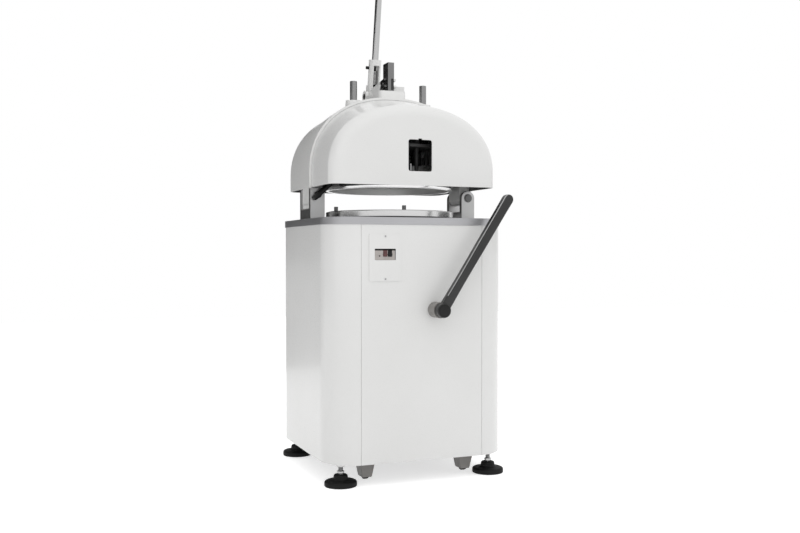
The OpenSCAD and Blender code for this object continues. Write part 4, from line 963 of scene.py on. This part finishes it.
print("clamp stud", round(stud_length * 1000), "mm long")

# %% [markdown]
# ## Table
# The round table carries the dough and circles a few millimetres when the machine runs. It was
# turned and polished, so it has lathe rings and a bright edge.

# %% Table and pegs
table_low, table_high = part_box("rounding_table")
table_r = table_high.x
table_profile = [
    (table_r - 0.0040, 0.0), (table_r - 0.0010, 0.0006), (table_r, 0.0018), (table_r, 0.0200),
    (table_r - 0.0006, 0.0214), (table_r - 0.0018, 0.0220), (table_r - 0.0080, 0.0220),
    (table_r - 0.0082, 0.0232), (table_r - 0.0092, 0.0240), (0.1500, 0.0240), (0.0040, 0.0240),
]
table_place = (0, (table_low.y + table_high.y) / 2, table_low.z)
table = smoothed(turned("rounding_table_finished", table_profile, table_place, sides=192))
hand_over(table, "rounding_table", table_steel)
dress("table_pegs", 0.0010, finish=peg_steel)
print("table", round(2 * table_r * 1000), "mm wide")

# %% [markdown]
# ## Head shells
# The white head is two moulded shells on either side of a cast arch. A shell's outline is a
# flattened half oval. A strip of faces is laid along that outline, its front edge is pushed
# forward in small steps that draw in, which makes the round front edge, and the last step is
# filled for the flat front. The skirt below is pulled straight down, and Solidify gives the skin
# its wall.

# %% Draw the outline of a shell
head_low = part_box("front_shell")[0].z
head_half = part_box("front_shell")[1].x
head_spring = head_low + 0.053
head_power = 2.2
arch_rise = 0.272
shell_back = -0.0473
shell_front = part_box("front_shell")[0].y
edge_radius = 0.044
outline_steps = 96
edge_steps = 9


def outline_point(share, half, rise):
    """A point of the half oval, from the right at 0 to the left at 1."""
    turn = math.pi * share
    across = math.copysign(abs(math.cos(turn)) ** (2 / head_power), math.cos(turn))
    up = abs(math.sin(turn)) ** (2 / head_power)
    return half * across, head_spring + rise * up


def edge_at(turn):
    """How far the round edge has drawn in and where it has got to, at one angle."""
    return edge_radius * (1 - math.cos(turn)), shell_front + edge_radius * (1 - math.sin(turn))


def lay_strip(name, end_rise):
    """Lay faces along the outline, falling from the arch to where the round edge begins."""
    run = shell_back - shell_front - edge_radius
    drop = arch_rise - end_rise + edge_radius
    begin = math.atan2(drop, run) - math.asin(edge_radius / math.hypot(drop, run))
    inset, y = edge_at(begin)
    clear_selection()
    bpy.ops.mesh.primitive_grid_add(x_subdivisions=outline_steps, y_subdivisions=1, size=2)
    strip = bpy.context.object
    strip.name = name
    for vertex in strip.data.vertices:
        share = (1 - vertex.co.x) / 2
        if vertex.co.y > 0:
            x, z = outline_point(share, head_half, arch_rise)
            vertex.co = (x, shell_back, z)
        else:
            x, z = outline_point(share, head_half - inset, end_rise - inset)
            vertex.co = (x, y, z)
    return strip, begin


print("outline of", outline_steps, "steps")


# %% Round the front edge and fill the front
def close_front(strip, begin, end_rise):
    """Push the front edge forward and inward in steps, then fill it."""
    inset, y = edge_at(begin)
    pick(strip, "EDGE", lambda edge: all(point.y < y + 0.0001 for point in ends_of(strip, edge)))
    for step in range(1, edge_steps + 1):
        old_inset, old_y = inset, y
        inset, y = edge_at(begin + (quarter - begin) * step / edge_steps)
        bpy.ops.mesh.extrude_edges_move(TRANSFORM_OT_translate={"value": (0, y - old_y, 0)})
        narrower = (head_half - inset) / (head_half - old_inset)
        lower = (end_rise - inset) / (end_rise - old_inset)
        bpy.ops.transform.resize(value=(narrower, 1, lower), center_override=(0, y, head_spring))
    bpy.ops.mesh.edge_face_add()
    close_edit()


print("edge radius", edge_radius, "m")


# %% Pull the skirt down and make the wall
def pull_down(strip):
    """Pull the lower edges straight down to the bottom of the head."""

    def is_lowest(edge):
        return all(abs(point.z - head_spring) < 0.00005 for point in ends_of(strip, edge))

    pick(strip, "EDGE", is_lowest)
    bpy.ops.mesh.extrude_edges_move(TRANSFORM_OT_translate={"value": (0, 0, head_low - head_spring)})
    bpy.ops.mesh.select_all(action="SELECT")
    bpy.ops.mesh.remove_doubles(threshold=0.00002)
    bpy.ops.mesh.normals_make_consistent(inside=False)
    close_edit()


def wall_up(strip):
    """Pull the skirt down, then give the skin its wall, with a dark inside that paints the shade within the
    head.
    """
    pull_down(strip)
    strip.data.materials.append(finishes["white_paint"])
    strip.data.materials.append(painted_shade_inside)
    shape_with(strip, "SOLIDIFY", thickness=0.004, offset=-1, use_even_offset=True,
               use_quality_normals=True, material_offset=1)


front_rise, rear_rise = 0.230, 0.260
front_skin, front_begin = lay_strip("front_shell_finished", front_rise)
rear_skin, rear_begin = lay_strip("rear_shell_finished", rear_rise)
close_front(front_skin, front_begin, front_rise)
close_front(rear_skin, rear_begin, rear_rise)
open_all(rear_skin)
bpy.ops.transform.mirror(constraint_axis=(False, True, False), center_override=(0, 0, 0))
close_edit()
for skin in (front_skin, rear_skin):
    wall_up(skin)
print("walls made, skirt", round((head_spring - head_low) * 1000), "mm high")

# %% [markdown]
# The window is cut through the front wall with a rounded cutter that has a small notch at its top.
# The rear shell gets a slot where the arms of the lever dip in. Every rim is then eased.

# %% Cut the window and the slot
window_x, window_sill, window_round = 0.014, 0.049, 0.008
window_size = (0.088, 0.05, 0.109)
window_middle = (window_x, shell_front, head_low + window_sill + window_size[2] / 2)
notch_size = (0.014, 0.05, 0.008)
slot_size, slot_middle = (0.0492, 0.076, 0.12), (0, 0.083, 1.34)
notch_middle = (window_middle[0], shell_front, window_middle[2] + window_size[2] / 2)
cutter = block("window_cutter", window_size, window_middle)
pick(cutter, "EDGE", along_axis(cutter, 1, 0.01))
bpy.ops.mesh.bevel(offset=window_round, segments=6, affect="EDGES")
close_edit()
notch = block("notch_cutter", notch_size, notch_middle)
arm_slot = block("arm_slot_cutter", slot_size, slot_middle)
for skin, tool in ((front_skin, cutter), (front_skin, notch), (rear_skin, arm_slot)):
    shape_with(skin, "BOOLEAN", operation="DIFFERENCE", object=tool, solver="EXACT")
    bpy.data.objects.remove(tool)
for skin, node in ((front_skin, "front_shell"), (rear_skin, "rear_shell")):
    shape_with(skin, "BEVEL", width=0.0009, segments=2, limit_method="ANGLE", angle_limit=math.radians(50))
    smoothed(skin, 40)
    hand_over(skin, node)
print("shells have", len(front_skin.data.polygons), "and", len(rear_skin.data.polygons), "faces")

# %% [markdown]
# ## Arch, bracket and bushes
# The arch is one casting with lugs for the hinge and bosses for the rods. Its rim stands proud of
# the front shell and catches a line of light: a strip is laid along the outline, like the shells
# were, and given a depth. The bosses narrow upward, as a cast boss must to leave its mould, so
# the points round their tops are drawn in a little. A toe lengthens the left lug to its fork.

# %% Arch with narrowed bosses
boss_taper, boss_top, boss_band = 0.0065, 1.334, 0.004
boss_in, boss_out = 0.022, 0.030
rod_r = 0.013
rod_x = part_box("guide_rods")[1].x - rod_r
arch = softened("arch", 0.0012, 3)
moved_count = 0
for vertex in arch.data.vertices:
    from_x = abs(vertex.co.x) - rod_x
    from_rod = math.hypot(from_x, vertex.co.y)
    if vertex.co.z > boss_top - boss_band and boss_in < from_rod < boss_out:
        drawn_in = 1 - boss_taper / from_rod
        vertex.co.x = math.copysign(rod_x + from_x * drawn_in, vertex.co.x)
        vertex.co.y *= drawn_in
        moved_count += 1
hand_over(smoothed(arch), "arch")
print("bosses drawn in at", moved_count, "points")

# %% Rim, toe and lever bracket
rim_in, rim_out, rim_y, rim_depth = 0.0002, 0.0086, -0.048, 0.005
toe_size, toe_middle = (0.009, 0.091, 0.019), (-0.3105, 0, 0.9465)
clear_selection()
bpy.ops.mesh.primitive_grid_add(x_subdivisions=outline_steps, y_subdivisions=1, size=2)
rim = bpy.context.object
rim.name = "arch_rim"
for vertex in rim.data.vertices:
    grown = rim_out if vertex.co.y > 0 else rim_in
    x, z = outline_point((1 - vertex.co.x) / 2, head_half + grown, arch_rise + grown)
    vertex.co = (x, rim_y, z)
pull_down(rim)
shape_with(rim, "SOLIDIFY", thickness=rim_depth, offset=0)
shape_with(rim, "BEVEL", width=0.0007, segments=2, limit_method="ANGLE", angle_limit=math.radians(50))
hand_over(smoothed(rim, 40), "arch", stands=False)

toe = block("left_lug_toe", toe_size, toe_middle)
shape_with(toe, "BEVEL", width=0.0015, segments=3, limit_method="ANGLE")
hand_over(smoothed(toe), "arch", stands=False)
dress("lever_bracket", 0.0020, 3)
dress("lever_pivot_pin", 0.0012, 3, finishes["black_paint"])
dress("rod_bushes", 0.0006)
print("rim", round((rim_out - rim_in) * 1000, 1), "mm wide")

# %% [markdown]
# ## Press and knives
# Under the head hang the ring, the white pressing segments and the knives between them. They show
# when the head is tilted up, so they get eased edges too. The column and the guide rods stand up
# through the arch.


# %% Lead a circle round a profile
def hoop(name, profile, sides=192):
    """Draw a hoop by leading a circle round a closed profile of radius and height."""
    clear_selection()
    radius, height = profile[0]
    bpy.ops.mesh.primitive_circle_add(
        vertices=sides, radius=radius, fill_type="NOTHING", location=(0, 0, height)
    )
    piece = bpy.context.object
    piece.name = name
    bpy.ops.object.transform_apply(location=True)
    open_all(piece)
    for (old_radius, old_height), (radius, height) in zip(profile, profile[1:] + profile[:1]):
        bpy.ops.mesh.extrude_edges_move(TRANSFORM_OT_translate={"value": (0, 0, height - old_height)})
        ratio = radius / old_radius
        bpy.ops.transform.resize(value=(ratio, ratio, 1), center_override=(0, 0, height))
    bpy.ops.mesh.select_all(action="SELECT")
    bpy.ops.mesh.remove_doubles(threshold=0.00002)
    bpy.ops.mesh.normals_make_consistent(inside=False)
    close_edit()
    return piece


print("hoop helper ready")

# %% Ring, segments and knives
segment_top = 1.0465
ring_low, ring_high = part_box("press_ring")
ring_r, ring_z, ring_top = ring_high.x, ring_low.z, ring_high.z
ring_in = ring_r - 0.014
ring_profile = [
    (ring_in + 0.0012, ring_z), (ring_r - 0.0040, ring_z), (ring_r - 0.0027, ring_z + 0.0004),
    (ring_r - 0.0020, ring_z + 0.0014), (ring_r - 0.0002, ring_z + 0.0080), (ring_r, ring_z + 0.0095),
    (ring_r, ring_top - 0.0012), (ring_r - 0.0012, ring_top), (ring_in + 0.0012, ring_top),
    (ring_in, ring_top - 0.0012), (ring_in, ring_z + 0.0012),
]
hand_over(smoothed(hoop("press_ring_finished", ring_profile)), "press_ring", ring_steel)
segments = softened("press_segments", 0.0006)
two_finishes(segments, finishes["white_plastic"], dark_alloy_and_shade, lambda face: face.center.z > segment_top)
hand_over(segments, "press_segments")
dress("knife_lattice", 0.0003)
dress("carrier_plate", 0.0008, finish=dark_alloy_and_shade)
dress("crosshead", 0.0008, finish=dark_alloy_and_shade)
print("ring", round(2 * ring_r * 1000), "mm wide")

# %% Column and rods
dress("guide_rods", 0.0014, 3)
step_y, step_z, step_left = (-0.0252, -0.0215), (1.377, 1.421), -0.001


def in_column_recess(face):
    """Whether a face lies in the milled step at the column's lower right, where shade is painted."""
    deep = step_y[0] < face.center.y < step_y[1]
    return deep and step_z[0] < face.center.z < step_z[1] and face.center.x > step_left


# The faces of the milled step take the near-black alloy, which paints the shade in the step.
column = softened("press_column", 0.0014, 3)
dark_count = two_finishes(column, column_steel, dark_alloy_and_shade, in_column_recess)
hand_over(column, "press_column")
print("column with", dark_count, "dark faces in its step")

# %% [markdown]
# ## Press lever
# The long lever has a white tube with a slot in front, where the latch spring shows. A steel rod
# goes up from it to a black grip. The left arm is left bare where it rubs on the column's pin: a
# bisect cuts its faces there, so that the paint ends in a straight line.

# %% Lever with its bare end
bare_end = 0.026
press_lever = softened("press_lever", 0.0013, 3)
open_all(press_lever)
bpy.ops.mesh.bisect(plane_co=(0, bare_end, 0), plane_no=(0, 1, 0))
close_edit()


def is_bare(face):
    """Whether a face lies at the bare end of the left arm."""
    return face.center.y < bare_end and face.center.x < 0


bare_count = two_finishes(press_lever, finishes["white_paint"], peg_steel, is_bare)
hand_over(press_lever, "press_lever")
print("lever with", bare_count, "bare faces")

# %% Rod, grip and latch
lean = math.radians(9.5)
pivot = (0.0, 0.166, 1.380)
dress("lever_rod", 0.0008, finish=rod_steel)
dress("latch_plunger", 0.0012, 3)
grip_profile = [
    (0.0140, 0.5752), (0.0156, 0.5766), (0.0164, 0.5800), (0.0168, 0.5900), (0.0164, 0.6150),
    (0.0157, 0.6400), (0.0158, 0.6600), (0.0166, 0.6780), (0.0168, 0.6850), (0.0160, 0.6920),
    (0.0138, 0.6965), (0.0100, 0.6990), (0.0050, 0.6999),
]
grip = smoothed(turned("lever_grip_finished", grip_profile, pivot, (lean, 0, 0), 48))
hand_over(grip, "lever_grip")
print("grip", round((grip_profile[-1][1] - grip_profile[0][1]) * 1000), "mm long")

# %% [markdown]
# ## Springs
# Two return springs lift the press, and a small one holds the latch. A spring is one circle of
# wire swept along a screw path, which keeps the wire round and unbroken.


# %% Wind a spring and hang it
def coil(name, coil_r, length, turns, middle, lay=(0, 0, 0)):
    """Sweep a circle of wire along a screw path."""
    clear_selection()
    start = (coil_r, 0, wire_r)
    bpy.ops.mesh.primitive_circle_add(
        vertices=12, radius=wire_r, fill_type="NOTHING", location=start, rotation=(quarter, 0, 0)
    )
    piece = bpy.context.object
    piece.name = name
    bpy.ops.object.transform_apply(location=True, rotation=True)
    shape_with(piece, "SCREW", axis="Z", angle=math.tau * turns, screw_offset=length - 2 * wire_r,
               iterations=1, steps=24 * turns, render_steps=24 * turns, use_merge_vertices=False)
    open_all(piece)
    bpy.ops.mesh.fill_holes(sides=0)
    bpy.ops.mesh.select_all(action="SELECT")
    bpy.ops.mesh.normals_make_consistent(inside=False)
    close_edit()
    settle(piece, lay, middle)
    return smoothed(piece, 60)


def hang_spring(spring, node):
    """Give a spring its finish, put its place into its mesh and hide the solid it stands for."""
    spring.data.materials.append(spring_wire)
    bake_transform(spring)
    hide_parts(node)


wire_r = 0.0015
print("spring helpers ready, wire", 2000 * wire_r, "mm thick")

# %% Return springs and latch spring
return_r, return_turns, return_reach = 0.009, 12, 0.0105
latch_r, latch_turns, latch_start, latch_length = 0.008, 11, 0.045, 0.055
spring_low, spring_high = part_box("return_springs")
return_length = spring_high.z - spring_low.z
for side, word in ((-1, "left"), (1, "right")):
    low_end = Vector((side * (spring_high.x - return_reach), 0, spring_low.z))
    spring = coil(word + "_return_spring", return_r, return_length, return_turns, low_end)
    hang_spring(spring, "return_springs")
along = Vector((0, -math.sin(lean), math.cos(lean)))
latch_low = Vector(pivot) + along * latch_start
latch_spring = coil("latch_spring_finished", latch_r, latch_length, latch_turns, latch_low, (lean, 0, 0))
hang_spring(latch_spring, "latch_spring")
print("three springs")

# %% [markdown]
# ## Back of the cabinet
# The motor needs air, so the rear panel has slots. Each slot gets a pressed hood that sheds flour:
# a cube with rounded outer edges, open below and behind, with a thin wall.

# %% Louvre hoods
vent_low, vent_pitch, vent_count = 0.165, 0.022, 6
hood_size = (0.252, 0.009, 0.016)
hood_round, hood_wall, hood_lift = 0.0065, 0.0012, 0.002
hood_model = block("hood_model", hood_size)


def is_outer(edge):
    """Whether an edge of the hood stands out from the panel and gets rounded."""
    ends = ends_of(hood_model, edge)
    outer = all(end.y > 0 for end in ends) and not all(end.z < 0 for end in ends)
    upright_end = all(end.z > 0 for end in ends) and abs(ends[0].y - ends[1].y) > 0.005
    return outer or upright_end


pick(hood_model, "EDGE", is_outer)
bpy.ops.mesh.bevel(offset=hood_round, segments=5, affect="EDGES")
pick(hood_model, "FACE", lambda face: face.normal.z < -0.9 or face.normal.y < -0.9)
bpy.ops.mesh.delete(type="FACE")
close_edit()
shape_with(hood_model, "SOLIDIFY", thickness=hood_wall, offset=-1)
smoothed(hood_model)
for row in range(vent_count):
    hood = copied(hood_model, f"louvre_hood_{row}")
    settle(hood, middle=(0, panel_back + hood_size[1] / 2, vent_low + row * vent_pitch + hood_lift))
    hand_over(hood, "rear_panel", stands=False)
bpy.data.objects.remove(hood_model)
dress("cable_gland", 0.0010)
print(vent_count, "hoods")

# %% [markdown]
# ## Inside the cabinet
# The frame, the motor and the drive are closed in by the panels. Their solids already have the
# right shape, so each keeps its own mesh and takes the finish of its slot.

# %% Finish the inner solids
kept = [name for name, node in nodes.items() if not node.hide_render]
for name in kept:
    nodes[name].data.materials.clear()
    nodes[name].data.materials.append(finishes[slot_of[name]])
print("kept solids:", ", ".join(sorted(kept)))
